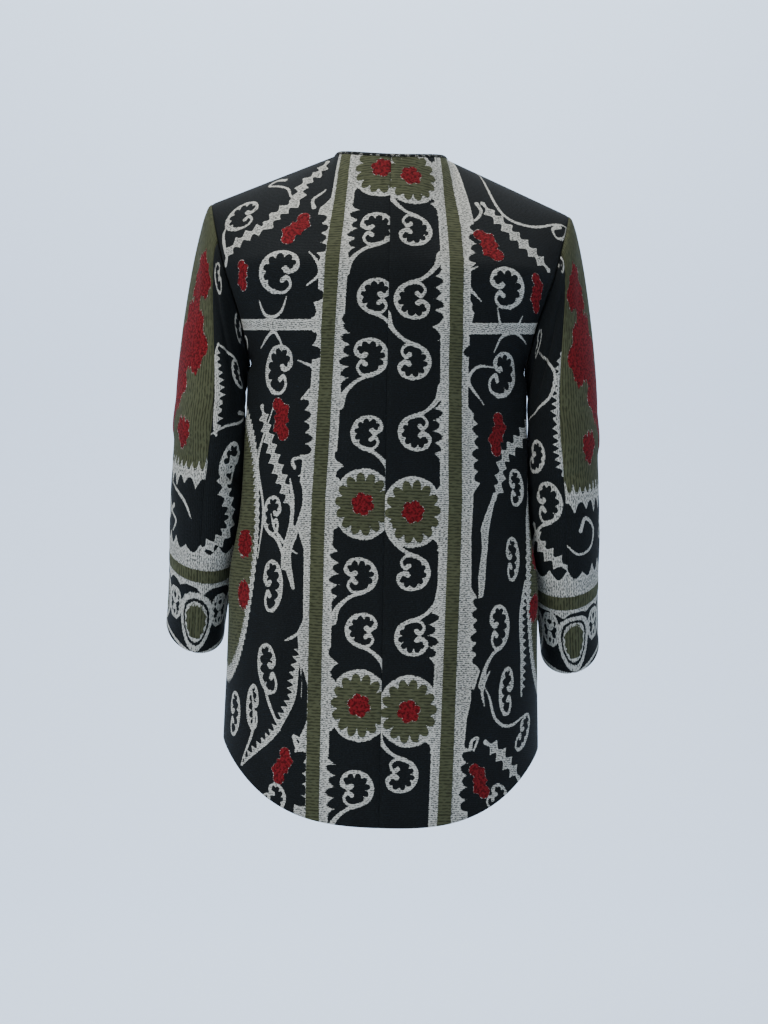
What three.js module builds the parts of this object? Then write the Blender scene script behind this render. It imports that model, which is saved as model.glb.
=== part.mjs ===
// A collarless jacquard jacket, hollow, in the form it keeps on the shoulders that hold it up.
// Millimetres, +Z up. The back faces +Y and the wearer's left is +X. The origin lies midway
// between the two points where the shoulder seams meet the neckline.
import * as THREE from "three";

// Driving dimensions
const CLOTH = 2.0; // wall of the heavy double-woven jacquard
const SEAM_INSET = 0.17; // half of the gap kept between sewn panels
const ARMHOLE_GAP = 0.7; // the sleeve head stands off the armhole by its seam
const SIDE_HEM = -681; // height of the hem at the side seams
const BACK_HEM_DROP = 84; // how far the shirt-tail hem falls from side to centre back
const FRONT_HEM_DROP = 24; // the same on the fronts
const FRONT_CORNER = 70; // radius of the rounded corner at the foot of each front edge
const UNDERARM = -248; // height of the foot of the armhole
const NECK_HALF_WIDTH = 66;
const BACK_NECK_Y = 55;
const BACK_NECK_Z = -7;
const FRONT_NECK_Y = -82;
const FRONT_NECK_Z = -84;
const SHOULDER_TIP = { x: 209, y: 0, z: -61 };
const FRONT_GAP = { neck: 3, hem: 11 }; // half of the open gap between the front edges
const SHOULDER_TILT = 0.034; // the wearer's right shoulder hangs a little lower
const CUFF_TILT = 0.056; // and the cuff below it lower still
const SWAY = 0.018; // and the whole garment leans a little to that side
const SWAY_LEVEL = -400;

// Section of the neck binding from its foot on the cloth's edge: up is along the edge's own lean,
// and out is measured from the cloth's outer face.
const BINDING_SECTION = [
  { out: 0.5, up: 0.5 },
  { out: 0.5, up: 3.6 },
  { out: -0.3, up: 4.8 },
  { out: -1.7, up: 4.8 },
  { out: -2.5, up: 3.6 },
  { out: -2.5, up: 0.8 },
];

// Cross rows of the body panels, from the hem up. depth is the distance of the centre line from
// the shoulder line, edge the place of the side seam or armhole edge, and turn the angle that the
// row has turned from square-on by the time it reaches that edge.
const BACK_ROWS = [
  { height: -800, depth: 134, edgeX: 185, edgeY: 0, edgeZ: -800, turn: 90 },
  { height: -690, depth: 135, edgeX: 184, edgeY: 0, edgeZ: -690, turn: 90 },
  { height: -600, depth: 131, edgeX: 181, edgeY: 0, edgeZ: -600, turn: 92 },
  { height: -510, depth: 121, edgeX: 177.5, edgeY: 0, edgeZ: -510, turn: 94 },
  { height: -420, depth: 111, edgeX: 165.5, edgeY: 0, edgeZ: -420, turn: 90 },
  { height: -340, depth: 116.5, edgeX: 162, edgeY: 0, edgeZ: -340, turn: 88 },
  { height: UNDERARM, depth: 121, edgeX: 159, edgeY: 0, edgeZ: UNDERARM, turn: 90 },
  { height: -215, depth: 121.2, edgeX: 163, edgeY: 27, edgeZ: -232, turn: 78 },
  { height: -180, depth: 119.5, edgeX: 171, edgeY: 45, edgeZ: -196, turn: 66 },
  { height: -125, depth: 110, edgeX: 190, edgeY: 54, edgeZ: -137, turn: 52 },
];
const FRONT_ROWS = [
  { height: -800, depth: 126, edgeX: 185, edgeY: 0, edgeZ: -800, turn: 90 },
  { height: -690, depth: 127, edgeX: 184, edgeY: 0, edgeZ: -690, turn: 90 },
  { height: -600, depth: 126, edgeX: 181, edgeY: 0, edgeZ: -600, turn: 90 },
  { height: -510, depth: 122, edgeX: 177.5, edgeY: 0, edgeZ: -510, turn: 91 },
  { height: -420, depth: 119, edgeX: 165.5, edgeY: 0, edgeZ: -420, turn: 94 },
  { height: -340, depth: 130, edgeX: 162, edgeY: 0, edgeZ: -340, turn: 94 },
  { height: UNDERARM, depth: 139, edgeX: 159, edgeY: 0, edgeZ: UNDERARM, turn: 90 },
  { height: -215, depth: 136, edgeX: 162, edgeY: 25, edgeZ: -234, turn: 80 },
  { height: -180, depth: 126, edgeX: 167, edgeY: 42, edgeZ: -202, turn: 70 },
  { height: -125, depth: 104, edgeX: 184, edgeY: 48, edgeZ: -143, turn: 56 },
];

// Rings of the sleeve, from the upper arm down to its hem. pitch tips a ring so that its back
// hangs lower, as the forearm swings forward, and yaw turns its oval, back edge inwards.
const SLEEVE_RINGS = [
  { z: -290, x: 205, y: 3, across: 40, deep: 60, pitch: 3, yaw: 17 },
  { z: -345, x: 206, y: 3, across: 41, deep: 57, pitch: 7, yaw: 14 },
  { z: -400, x: 208.5, y: -2, across: 42, deep: 54, pitch: 11, yaw: 12 },
  { z: -447, x: 211, y: -10, across: 40.5, deep: 51.5, pitch: 14, yaw: 12 },
  { z: -490, x: 215, y: -20, across: 37.5, deep: 49.5, pitch: 17, yaw: 12 },
  { z: -530, x: 219, y: -32, across: 35, deep: 48.5, pitch: 27, yaw: 12 },
  { z: -562, x: 222.5, y: -43, across: 34.5, deep: 48, pitch: 38, yaw: 12 },
];
const SLEEVE_SEAMS = { back: 75, front: 240 }; // round the arm from its outer side, in degrees
const NECK_SHARE = 0.28; // part of a panel's top edge that is neckline

const ROUND_STEP = 15; // degrees round the sleeve and armhole, the same on both edges of the seam
const PANEL_GRID = { neck: 7, shoulder: 8, below: 15 };
const SLEEVE_GRID = { cap: 9, perRing: 2 };

const CLOTHS = {
  body: new THREE.MeshStandardMaterial({ color: 0x2c2f30, roughness: 0.92, metalness: 0 }),
  sleeve: new THREE.MeshStandardMaterial({ color: 0x3c3d31, roughness: 0.94, metalness: 0 }),
  binding: new THREE.MeshStandardMaterial({ color: 0x17191b, roughness: 0.85, metalness: 0 }),
};

const radians = THREE.MathUtils.degToRad;
const mix = THREE.MathUtils.lerp;
const vector = (x, y, z) => new THREE.Vector3(x, y, z);

// A cubic with the given ends and end slopes.
function hermite(a, slopeA, b, slopeB, t) {
  const t2 = t * t;
  const t3 = t2 * t;
  return vector(0, 0, 0)
    .addScaledVector(a, 2 * t3 - 3 * t2 + 1)
    .addScaledVector(slopeA, t3 - 2 * t2 + t)
    .addScaledVector(b, 3 * t2 - 2 * t3)
    .addScaledVector(slopeB, t3 - t2);
}

// Slope between two points of a column whose heights differ.
function slope(low, high, rise) {
  return high.clone().sub(low).divideScalar(rise);
}

// The back panel has face 1 and the front panel face -1: the tables hold depths without sign.
const BACK = {
  face: 1,
  rows: BACK_ROWS,
  neckY: BACK_NECK_Y,
  neckZ: BACK_NECK_Z,
  neckFall: 2,
  neckLean: vector(0, -0.5, 0.86),
  hemDrop: BACK_HEM_DROP,
};
const FRONT = {
  face: -1,
  rows: FRONT_ROWS,
  neckY: FRONT_NECK_Y,
  neckZ: FRONT_NECK_Z,
  neckFall: 1.5,
  neckLean: vector(0, 0.42, 0.9),
  hemDrop: FRONT_HEM_DROP,
};

// Distance of the panel's inner edge from the middle: a seam at the back, an open gap in front.
function innerEdge(side, height) {
  if (side === BACK) return SEAM_INSET;
  return mix(FRONT_GAP.neck, FRONT_GAP.hem, THREE.MathUtils.clamp(height / SIDE_HEM, 0, 1));
}

// A point of one cross row, u = 0 at the centre and 1 at the side seam or armhole.
function rowPoint(side, row, u) {
  const start = innerEdge(side, row.height);
  const turn = radians(row.turn);
  const reach = 0.57 * row.edgeX;
  const back = 0.57 * (row.depth - row.edgeY) / Math.max(Math.sin(turn), 0.5);
  const x = [start, reach, row.edgeX - back * Math.cos(turn), row.edgeX];
  const y = [row.depth, row.depth, row.edgeY + back * Math.sin(turn), row.edgeY];
  const w = [(1 - u) ** 3, 3 * u * (1 - u) ** 2, 3 * u * u * (1 - u), u ** 3];
  const sum = (values) => values.reduce((total, value, i) => total + value * w[i], 0);
  return vector(sum(x), side.face * sum(y), mix(row.height, row.edgeZ, u ** 3));
}

// 0 to 1, starting slowly: columns draw together at the corner between neckline and shoulder, so
// that the cloth below it has no crease.
function easeIn(t) {
  return t * t * (2 - t);
}

// A point of the panel's top edge: the neckline up to NECK_SHARE, then the shoulder seam.
function topPoint(side, u) {
  if (u < NECK_SHARE) {
    const angle = (Math.PI / 2) * (1 - easeIn(1 - u / NECK_SHARE));
    const x = mix(innerEdge(side, 0), NECK_HALF_WIDTH, Math.sin(angle));
    return vector(x, side.neckY * Math.cos(angle), side.neckZ * Math.cos(angle) ** side.neckFall);
  }
  const along = easeIn((u - NECK_SHARE) / (1 - NECK_SHARE));
  return vector(NECK_HALF_WIDTH, 0, 0).lerp(SHOULDER_TIP, along);
}

// The way a column of the panel runs as it reaches the top edge.
function topSlope(side, u, span) {
  const atPoint = vector(-0.6, -0.72 * side.face, 0.33);
  const atShoulder = vector(0.03, -side.face, 0.08);
  if (u < NECK_SHARE) {
    const share = (u / NECK_SHARE) ** 2;
    return side.neckLean.clone().lerp(atPoint, share).multiplyScalar(span * mix(0.9, 0.75, share));
  }
  const share = THREE.MathUtils.smoothstep(u, NECK_SHARE, NECK_SHARE + 0.4);
  return atPoint.lerp(atShoulder, share).multiplyScalar(span * 0.75);
}

// A point of a body panel, u across and height up its columns. The height runs on to 0 at the
// neckline and shoulder seam, whatever their real height.
function panelPoint(side, u, height) {
  const rows = side.rows;
  const last = rows.length - 1;
  const at = (k) => (k > last ? topPoint(side, u) : rowPoint(side, rows[k], u));
  const level = (k) => (k > last ? 0 : rows[k].height);
  let k = 0;
  while (k < last && height > level(k + 1)) k += 1;
  const rise = level(k + 1) - level(k);
  const t = (height - level(k)) / rise;
  const slopeAt = (j, above) => {
    if (j === 0) return slope(at(0), at(1), level(1) - level(0));
    const smooth = slope(at(j - 1), at(j + 1), level(j + 1) - level(j - 1));
    if (level(j) !== UNDERARM) return smooth;
    // the side seam turns a corner into the armhole, and the cloth beside it hardly does
    const corner = above
      ? slope(at(j), at(j + 1), level(j + 1) - level(j))
      : slope(at(j - 1), at(j), level(j) - level(j - 1));
    return smooth.lerp(corner, u ** 6);
  };
  const low = at(k);
  const high = at(k + 1);
  const slopeLow = slopeAt(k, true).multiplyScalar(rise);
  const slopeHigh =
    k === last ? topSlope(side, u, low.distanceTo(high)) : slopeAt(k + 1, false).multiplyScalar(rise);
  return hermite(low, slopeLow, high, slopeHigh, t);
}

// Height of the hem across a panel, with the rounded corner at the foot of a front edge.
function hemHeight(side, u) {
  const fall = Math.cos((Math.PI / 2) * u ** 1.35) ** 2;
  const height = SIDE_HEM - side.hemDrop * fall;
  if (side === BACK) return height;
  const fromEdge = rowPoint(side, side.rows[1], u).x - innerEdge(side, SIDE_HEM);
  const into = Math.max(0, FRONT_CORNER - fromEdge);
  return height + FRONT_CORNER - Math.sqrt(FRONT_CORNER ** 2 - into ** 2);
}

// The pose on the shoulders comes last, on the right-hand copies too, because it isn't the same on
// both sides.
function worn(point, isRight, tilt) {
  const x = isRight ? -point.x : point.x;
  return vector(x - SWAY * (point.z - SWAY_LEVEL), point.y, point.z + tilt * x);
}

function sleeveTilt(z) {
  const down = THREE.MathUtils.smoothstep(-z, -UNDERARM, 560);
  return mix(SHOULDER_TILT, CUFF_TILT, down);
}

// Height on a body panel's armhole edge, for an angle round the arm from the shoulder tip.
function armholeHeight(angle) {
  return (UNDERARM * (1 - Math.cos(angle))) / 2;
}

// The sleeve's first ring is the armhole's edge, kept a seam's gap outside the body panels.
function armholePoint(angle) {
  const side = angle <= Math.PI ? BACK : FRONT;
  const edge = panelPoint(side, 1, armholeHeight(angle));
  const out = vector(0.9 + 0.1 * Math.cos(angle), 0, -0.15);
  return edge.addScaledVector(out, ARMHOLE_GAP);
}

function ringPoint(ring, angle) {
  const yaw = radians(ring.yaw);
  const pitch = radians(ring.pitch);
  const outward = vector(Math.cos(yaw), Math.sin(yaw), 0);
  const backward = vector(
    -Math.sin(yaw) * Math.cos(pitch),
    Math.cos(yaw) * Math.cos(pitch),
    -Math.sin(pitch),
  );
  return vector(ring.x, ring.y, ring.z)
    .addScaledVector(outward, ring.across * Math.cos(angle))
    .addScaledVector(backward, ring.deep * Math.sin(angle));
}

// A point of the left sleeve: angle goes round the arm from its outer side by the back, and
// station is 0 at the armhole, then 1 at the first ring and one more for each ring down.
function sleevePoint(angle, station) {
  const at = (k) => (k === 0 ? armholePoint(angle) : ringPoint(SLEEVE_RINGS[k - 1], angle));
  const last = SLEEVE_RINGS.length;
  const k = THREE.MathUtils.clamp(Math.floor(station), 0, last - 1);
  const t = station - k;
  const slopeAt = (j) => {
    if (j === last) return at(last).sub(at(last - 1));
    return at(j + 1).sub(at(j - 1)).multiplyScalar(0.5);
  };
  if (k > 0) return hermite(at(k), slopeAt(k), at(k + 1), slopeAt(k + 1), t);
  const chord = at(0).distanceTo(at(1));
  const bend = Math.cos(angle);
  const leave = vector(0.7 + 0.12 * bend, 0.32 * Math.sin(angle), -0.5 - 0.28 * bend * bend);
  leave.setLength(chord * 0.29);
  const arrive = at(2).sub(at(1)).setLength(chord * 0.8);
  return hermite(at(0), leave, at(1), arrive, t);
}

// A closed wall over a surface, CLOTH thick towards its inner side. Column j runs along
// lines[j], a list of the surface's second parameter, at the first parameter across[j]. A mitre
// gives the way from a seam into this panel, and the wall's edge never leans back against it.
function wall(surface, across, lines, inward, mitre = () => null) {
  const step = 1e-3;
  const skin = (i, j) => {
    const u = across[j];
    const v = lines[j][i];
    const stepDown = (step * Math.abs(lines[j][0] - lines[j].at(-1))) || step;
    const sideways = surface(u + step * 0.5, v).sub(surface(u - step * 0.5, v));
    const along = surface(u, v + stepDown).sub(surface(u, v - stepDown));
    const inside = sideways.cross(along).setLength(inward);
    const away = mitre(i, j);
    const lean = away ? Math.min(0, inside.dot(away)) : 0;
    if (lean < 0) inside.addScaledVector(away, -lean).normalize();
    const outer = surface(u, v);
    return { outer, inner: outer.clone().addScaledVector(inside, CLOTH) };
  };
  const rows = lines[0].length;
  const columns = across.length;
  const cells = steps(0, rows - 1, rows - 1).map((i) => across.map((_, j) => skin(i, j))).flat();
  const points = [...cells.map((cell) => cell.outer), ...cells.map((cell) => cell.inner)];
  const count = cells.length;
  const faces = [];
  const flip = inward > 0;
  const quad = (a, b, c, d) => (flip ? faces.push(a, c, b, a, d, c) : faces.push(a, b, c, a, c, d));
  const id = (i, j) => i * columns + j;
  for (let i = 0; i < rows - 1; i += 1) {
    for (let j = 0; j < columns - 1; j += 1) {
      const corners = [id(i, j), id(i, j + 1), id(i + 1, j + 1), id(i + 1, j)];
      quad(...corners);
      quad(...corners.map((corner) => count + corner).reverse());
    }
  }
  const rim = (a, b) => quad(a, count + a, count + b, b);
  for (let j = 0; j < columns - 1; j += 1) {
    rim(id(0, j), id(0, j + 1));
    rim(id(rows - 1, j + 1), id(rows - 1, j));
  }
  for (let i = 0; i < rows - 1; i += 1) {
    rim(id(i, columns - 1), id(i + 1, columns - 1));
    rim(id(i + 1, 0), id(i, 0));
  }
  return solid(points, faces);
}

function solid(points, faces) {
  const geometry = new THREE.BufferGeometry();
  const positions = points.flatMap((p) => [p.x, p.y, p.z]);
  geometry.setAttribute("position", new THREE.Float32BufferAttribute(positions, 3));
  geometry.setIndex(faces);
  geometry.computeVertexNormals();
  return geometry;
}

function steps(from, to, count) {
  return Array.from({ length: count + 1 }, (_, i) => mix(from, to, i / count));
}

function bodyPanel(side, isRight) {
  const seam = 0.0008; // share of a row given up at a seam
  const { neck, shoulder, below } = PANEL_GRID;
  const above = 180 / ROUND_STEP;
  const across = [
    ...steps(side === BACK ? seam : 0, NECK_SHARE, neck),
    ...steps(NECK_SHARE, 1 - seam, shoulder).slice(1),
  ];
  const lines = across.map((u) => [
    ...steps(hemHeight(side, u), UNDERARM, below),
    ...steps(Math.PI, 0, above).slice(1, -1).map(armholeHeight),
    -2 * SEAM_INSET,
  ]);
  const surface = (u, height) => worn(panelPoint(side, u, height), isRight, SHOULDER_TILT);
  const mitre = (i, j) => {
    if (i === below + above && j >= neck) return vector(0, side.face, 0);
    if (i <= below && j === neck + shoulder) return vector(0, side.face, 0);
    return j === 0 && side === BACK ? vector(isRight ? -1 : 1, 0, 0) : null;
  };
  return wall(surface, across, lines, (side.face > 0) === isRight ? -1 : 1, mitre);
}

// The way out of a body panel across its armhole edge.
function outOfArmhole(angle, isRight) {
  const side = angle <= Math.PI ? BACK : FRONT;
  const small = 0.01;
  const at = (u, round) =>
    worn(panelPoint(side, u, armholeHeight(round)), isRight, SHOULDER_TILT);
  const out = at(1, angle).sub(at(1 - small, angle));
  const along = at(1, angle + small).sub(at(1, angle - small)).normalize();
  return out.addScaledVector(along, -out.dot(along)).normalize();
}

function sleevePanel(from, to, isRight) {
  const seam = 0.36; // degrees given up at a seam
  const round = steps(from, to, (to - from) / ROUND_STEP).slice(1, -1);
  const angles = [from + seam, ...round, to - seam].map(radians);
  const stations = [
    ...steps(0, 1, SLEEVE_GRID.cap),
    ...steps(1, SLEEVE_RINGS.length, SLEEVE_GRID.perRing * (SLEEVE_RINGS.length - 1)).slice(1),
  ];
  const fullTurn = 2 * Math.PI;
  const surface = (angle, station) => {
    const point = sleevePoint((angle + fullTurn) % fullTurn, station);
    return worn(point, isRight, sleeveTilt(point.z));
  };
  const mitre = (i, j) => (i === 0 ? outOfArmhole(angles[j] % fullTurn, isRight) : null);
  return wall(surface, angles, angles.map(() => stations), isRight ? -1 : 1, mitre);
}

// The corners of the binding's section at a point of the neckline, u = 0 at the centre.
function bindingSection(side, u, isRight) {
  const small = 1e-3;
  const foot = (share, height) => worn(panelPoint(side, share, height), isRight, SHOULDER_TILT);
  const inside = THREE.MathUtils.clamp(u, small, NECK_SHARE - small);
  const along = foot(inside + small, 0).sub(foot(inside - small, 0)).normalize();
  const rise = foot(inside, 0).sub(foot(inside, -1));
  const out = along.clone().cross(rise).normalize();
  if ((side === BACK) !== isRight) out.negate();
  const up = along.cross(out).normalize();
  if (up.z < 0) up.negate();
  const base = foot(u, 0);
  if (side === BACK && u === 0) base.x = worn(vector(0, base.y, base.z), isRight, SHOULDER_TILT).x;
  return BINDING_SECTION.map((corner) =>
    base.clone().addScaledVector(out, corner.out).addScaledVector(up, corner.up),
  );
}

// One strip round the neckline, from the right front edge by the nape to the left front edge.
function neckBinding() {
  const toPoint = steps(0, NECK_SHARE, PANEL_GRID.neck);
  const toCentre = toPoint.slice(0, -1).reverse();
  const half = (isRight) => [
    ...toPoint.map((u) => bindingSection(BACK, u, isRight)),
    ...toCentre.map((u) => bindingSection(FRONT, u, isRight)),
  ];
  const rings = [...half(true).reverse(), ...half(false).slice(1)];
  return strip(rings);
}

// A closed bar through a row of sections that all have the same corners.
function strip(rings) {
  const corners = rings[0].length;
  const faces = [];
  for (let i = 0; i < rings.length - 1; i += 1) {
    for (let k = 0; k < corners; k += 1) {
      const [a, b] = [i * corners + k, i * corners + ((k + 1) % corners)];
      faces.push(a, b, b + corners, a, b + corners, a + corners);
    }
  }
  const end = (rings.length - 1) * corners;
  for (let k = 1; k < corners - 1; k += 1) {
    faces.push(0, k + 1, k, end, end + k, end + k + 1);
  }
  return solid(rings.flat(), faces);
}

const jacket = new THREE.Group();

function sew(name, geometry, material) {
  const mesh = new THREE.Mesh(geometry, material);
  mesh.name = name;
  jacket.add(mesh);
}

for (const [word, isRight] of [
  ["left", false],
  ["right", true],
]) {
  sew(`back_${word}`, bodyPanel(BACK, isRight), CLOTHS.body);
  sew(`front_${word}`, bodyPanel(FRONT, isRight), CLOTHS.body);
  const { back, front } = SLEEVE_SEAMS;
  sew(`sleeve_under_${word}`, sleevePanel(back, front, isRight), CLOTHS.sleeve);
  sew(`sleeve_top_${word}`, sleevePanel(front, back + 360, isRight), CLOTHS.sleeve);
}

sew("neck_binding", neckBinding(), CLOTHS.binding);

export default jacket;
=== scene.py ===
"""A collarless jacquard jacket seen from behind: woven panels, sleeves and a narrow neck binding."""
import math

import bpy
import numpy as np
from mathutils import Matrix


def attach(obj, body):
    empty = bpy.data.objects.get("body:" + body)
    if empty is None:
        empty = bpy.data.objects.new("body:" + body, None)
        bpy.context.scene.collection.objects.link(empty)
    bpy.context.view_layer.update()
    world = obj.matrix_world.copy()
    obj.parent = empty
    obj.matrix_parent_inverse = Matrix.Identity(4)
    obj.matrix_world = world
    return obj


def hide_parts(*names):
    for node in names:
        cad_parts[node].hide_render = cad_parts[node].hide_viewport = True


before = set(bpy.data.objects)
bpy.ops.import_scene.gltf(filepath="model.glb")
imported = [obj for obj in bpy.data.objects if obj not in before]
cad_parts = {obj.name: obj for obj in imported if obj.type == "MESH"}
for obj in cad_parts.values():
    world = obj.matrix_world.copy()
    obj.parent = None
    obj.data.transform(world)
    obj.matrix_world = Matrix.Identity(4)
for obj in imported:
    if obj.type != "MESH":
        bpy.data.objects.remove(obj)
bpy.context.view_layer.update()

bl_info = {
    "name": "Jacquard jacket",
    "version": (1, 0, 0),
    "blender": (4, 5, 0),
    "location": "3D View > Sidebar > Jacket",
    "description": "Builds a hollow, woven, collarless jacket and a plain studio around it",
    "category": "Object",
}

MM = 0.001  # the cut below is in millimetres, Blender's objects are in metres

# The cut, as the solids have it, with the seams closed where the solids keep a gap
SEAM_SHARE = 0.00002  # of a panel's width, left free at the centre back and at the side
SEAM_REST = 0.03  # left free at the neckline and the shoulder seam, mm
SEAM_LAP = 0.02  # the backs overlap by this, so that no light comes through, mm
ARMHOLE_GAP = 0.35  # between the body and the top of a sleeve, mm
SIDE_HEM = -681.0  # height of the hem at the side seam, mm from the neck points
BACK_HEM_DROP = 84.0  # how much lower the hem hangs at the centre back
FRONT_HEM_DROP = 24.0
FRONT_CORNER = 70.0  # radius of the rounded hem corner
UNDERARM = -248.0
NECK_HALF_WIDTH = 66.0
SHOULDER_TIP = (209.0, 0.0, -61.0)
FRONT_GAP = (3.0, 11.0)  # from the middle to a front's edge, at the neck and at the hem
SHOULDER_TILT = 0.034  # drop for each mm aside, as the jacket hangs lower on its right
CUFF_TILT = 0.056
SWAY = 0.018  # how far the body leans aside for each mm of height
SWAY_LEVEL = -400.0
NECK_SHARE = 0.28  # of a panel's width that lies under the neckline
SLEEVE_SEAM_BACK = 75.0  # degrees round the arm from its outer line, by the back
SLEEVE_SEAM_FRONT = 240.0
SLEEVE_SEAM_GAP = 0.03  # degrees given up at each sleeve seam

# Cross rows of a panel: height, depth, edge x, edge y, edge z, turn in degrees
BACK_ROWS = np.array([
    (-800, 134, 185, 0, -800, 90),
    (-690, 135, 184, 0, -690, 90),
    (-600, 131, 181, 0, -600, 92),
    (-510, 121, 177.5, 0, -510, 94),
    (-420, 111, 165.5, 0, -420, 90),
    (-340, 116.5, 162, 0, -340, 88),
    (-248, 121, 159, 0, -248, 90),
    (-215, 121.2, 163, 27, -232, 78),
    (-180, 119.5, 171, 45, -196, 66),
    (-125, 110, 190, 54, -137, 52),
], dtype=float)
FRONT_ROWS = np.array([
    (-800, 126, 185, 0, -800, 90),
    (-690, 127, 184, 0, -690, 90),
    (-600, 126, 181, 0, -600, 90),
    (-510, 122, 177.5, 0, -510, 91),
    (-420, 119, 165.5, 0, -420, 94),
    (-340, 130, 162, 0, -340, 94),
    (-248, 139, 159, 0, -248, 90),
    (-215, 136, 162, 25, -234, 80),
    (-180, 126, 167, 42, -202, 70),
    (-125, 104, 184, 48, -143, 56),
], dtype=float)
# Rings of the sleeve: z, x, y, across, deep, pitch, yaw
SLEEVE_RINGS = np.array([
    (-290, 205, 3, 40, 60, 3, 17),
    (-345, 206, 3, 41, 57, 7, 14),
    (-400, 208.5, -2, 42, 54, 11, 12),
    (-447, 211, -10, 40.5, 51.5, 14, 12),
    (-490, 215, -20, 37.5, 49.5, 17, 12),
    (-530, 219, -32, 35, 48.5, 27, 12),
    (-562, 222.5, -43, 34.5, 48, 38, 12),
], dtype=float)


class Side:
    """One half of the body, back or front: its rows, its neckline and its hem."""

    def __init__(self, name, face, rows, neck, neck_fall, neck_lean, hem_drop):
        self.name = name
        self.face = face
        self.rows = rows
        self.neck_y, self.neck_z = neck
        self.neck_fall = neck_fall
        self.neck_lean = np.array(neck_lean, dtype=float)
        self.hem_drop = hem_drop

    def inner_edge(self, height):
        if self.face > 0:
            return 0.0
        share = np.clip(height / SIDE_HEM, 0.0, 1.0)
        return FRONT_GAP[0] + (FRONT_GAP[1] - FRONT_GAP[0]) * share


BACK = Side("back", 1, BACK_ROWS, (55.0, -7.0), 2.0, (0, -0.5, 0.86), BACK_HEM_DROP)
FRONT = Side("front", -1, FRONT_ROWS, (-82.0, -84.0), 1.5, (0, 0.42, 0.9), FRONT_HEM_DROP)


def hermite(low, slope_low, high, slope_high, t):
    t = t[..., None]
    t2, t3 = t * t, t * t * t
    return (
        low * (2 * t3 - 3 * t2 + 1)
        + slope_low * (t3 - 2 * t2 + t)
        + high * (3 * t2 - 2 * t3)
        + slope_high * (t3 - t2)
    )


def ease_in(t):
    return t * t * (2 - t)


def smooth_share(value, low, high):
    t = np.clip((value - low) / (high - low), 0.0, 1.0)
    return t * t * (3 - 2 * t)


def row_points(side, row, u):
    """One cross row of a body panel, u = 0 at the centre and 1 at the side."""
    height, depth, edge_x, edge_y, edge_z, turn = row
    turn = math.radians(turn)
    reach = 0.57 * (depth - edge_y) / max(math.sin(turn), 0.5)
    start = float(side.inner_edge(height))
    xs = (start, 0.57 * edge_x, edge_x - reach * math.cos(turn), edge_x)
    ys = (depth, depth, edge_y + reach * math.sin(turn), edge_y)
    weights = ((1 - u) ** 3, 3 * u * (1 - u) ** 2, 3 * u * u * (1 - u), u ** 3)
    x = sum(value * weight for value, weight in zip(xs, weights))
    y = sum(value * weight for value, weight in zip(ys, weights))
    z = height + (edge_z - height) * u ** 3
    return np.stack([x, side.face * y, z], axis=-1)


def top_points(side, u):
    """The panel's top edge: the neckline, then the shoulder seam."""
    neck = u < NECK_SHARE
    angle = (math.pi / 2) * (1 - ease_in(1 - np.minimum(u, NECK_SHARE) / NECK_SHARE))
    start = float(side.inner_edge(0.0))
    cosine = np.clip(np.cos(angle), 0.0, 1.0)
    neckline = np.stack([
        start + (NECK_HALF_WIDTH - start) * np.sin(angle),
        side.neck_y * cosine,
        side.neck_z * cosine ** side.neck_fall,
    ], axis=-1)
    along = ease_in(np.clip((u - NECK_SHARE) / (1 - NECK_SHARE), 0.0, 1.0))
    neck_point = np.array([NECK_HALF_WIDTH, 0.0, 0.0])
    shoulder = neck_point + (np.array(SHOULDER_TIP) - neck_point) * along[..., None]
    return np.where(neck[..., None], neckline, shoulder)


def top_slopes(side, u, span):
    at_point = np.array([-0.6, -0.72 * side.face, 0.33])
    at_shoulder = np.array([0.03, -side.face, 0.08])
    neck = u < NECK_SHARE
    share = (np.minimum(u, NECK_SHARE) / NECK_SHARE)[..., None] ** 2
    length = 0.9 + (0.75 - 0.9) * share
    neck_slope = (side.neck_lean + (at_point - side.neck_lean) * share) * length
    out = smooth_share(u, NECK_SHARE, NECK_SHARE + 0.4)[..., None]
    shoulder_slope = (at_point + (at_shoulder - at_point) * out) * 0.75
    return np.where(neck[..., None], neck_slope, shoulder_slope) * span[..., None]


def panel_points(side, u, height):
    """Points of a body panel: u has a value for each column, height one for each point."""
    rows = side.rows
    last = len(rows) - 1
    curves = [row_points(side, row, u) for row in rows] + [top_points(side, u)]
    levels = [row[0] for row in rows] + [0.0]
    columns = np.broadcast_to(np.arange(len(u)), height.shape)
    result = np.zeros(height.shape + (3,))

    def slope(k, above):
        if k == 0:
            return (curves[1] - curves[0]) / (levels[1] - levels[0])
        soft = (curves[k + 1] - curves[k - 1]) / (levels[k + 1] - levels[k - 1])
        if levels[k] != UNDERARM:
            return soft
        low, high = (k, k + 1) if above else (k - 1, k)
        corner = (curves[high] - curves[low]) / (levels[high] - levels[low])
        return soft + (corner - soft) * (u ** 6)[:, None]

    spans = np.clip(np.searchsorted(levels, height, side="right") - 1, 0, last)
    for k in range(last + 1):
        low, high = levels[k], levels[k + 1]
        here = spans == k
        if not here.any():
            continue
        rise = high - low
        slope_low = slope(k, True) * rise
        if k == last:
            span = np.linalg.norm(curves[k + 1] - curves[k], axis=-1)
            slope_high = top_slopes(side, u, span)
        else:
            slope_high = slope(k + 1, False) * rise
        j = columns[here]
        t = (height[here] - low) / rise
        result[here] = hermite(curves[k][j], slope_low[j], curves[k + 1][j], slope_high[j], t)
    return result


def hem_height(side, u):
    fall = np.cos((math.pi / 2) * u ** 1.35) ** 2
    height = SIDE_HEM - side.hem_drop * fall
    if side is BACK:
        return height
    from_edge = row_points(side, side.rows[1], u)[:, 0] - float(side.inner_edge(SIDE_HEM))
    into = np.clip(FRONT_CORNER - from_edge, 0.0, FRONT_CORNER)
    return height + FRONT_CORNER - np.sqrt(FRONT_CORNER ** 2 - into ** 2)


def armhole_height(angle):
    return UNDERARM * (1 - np.cos(angle)) / 2


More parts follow.
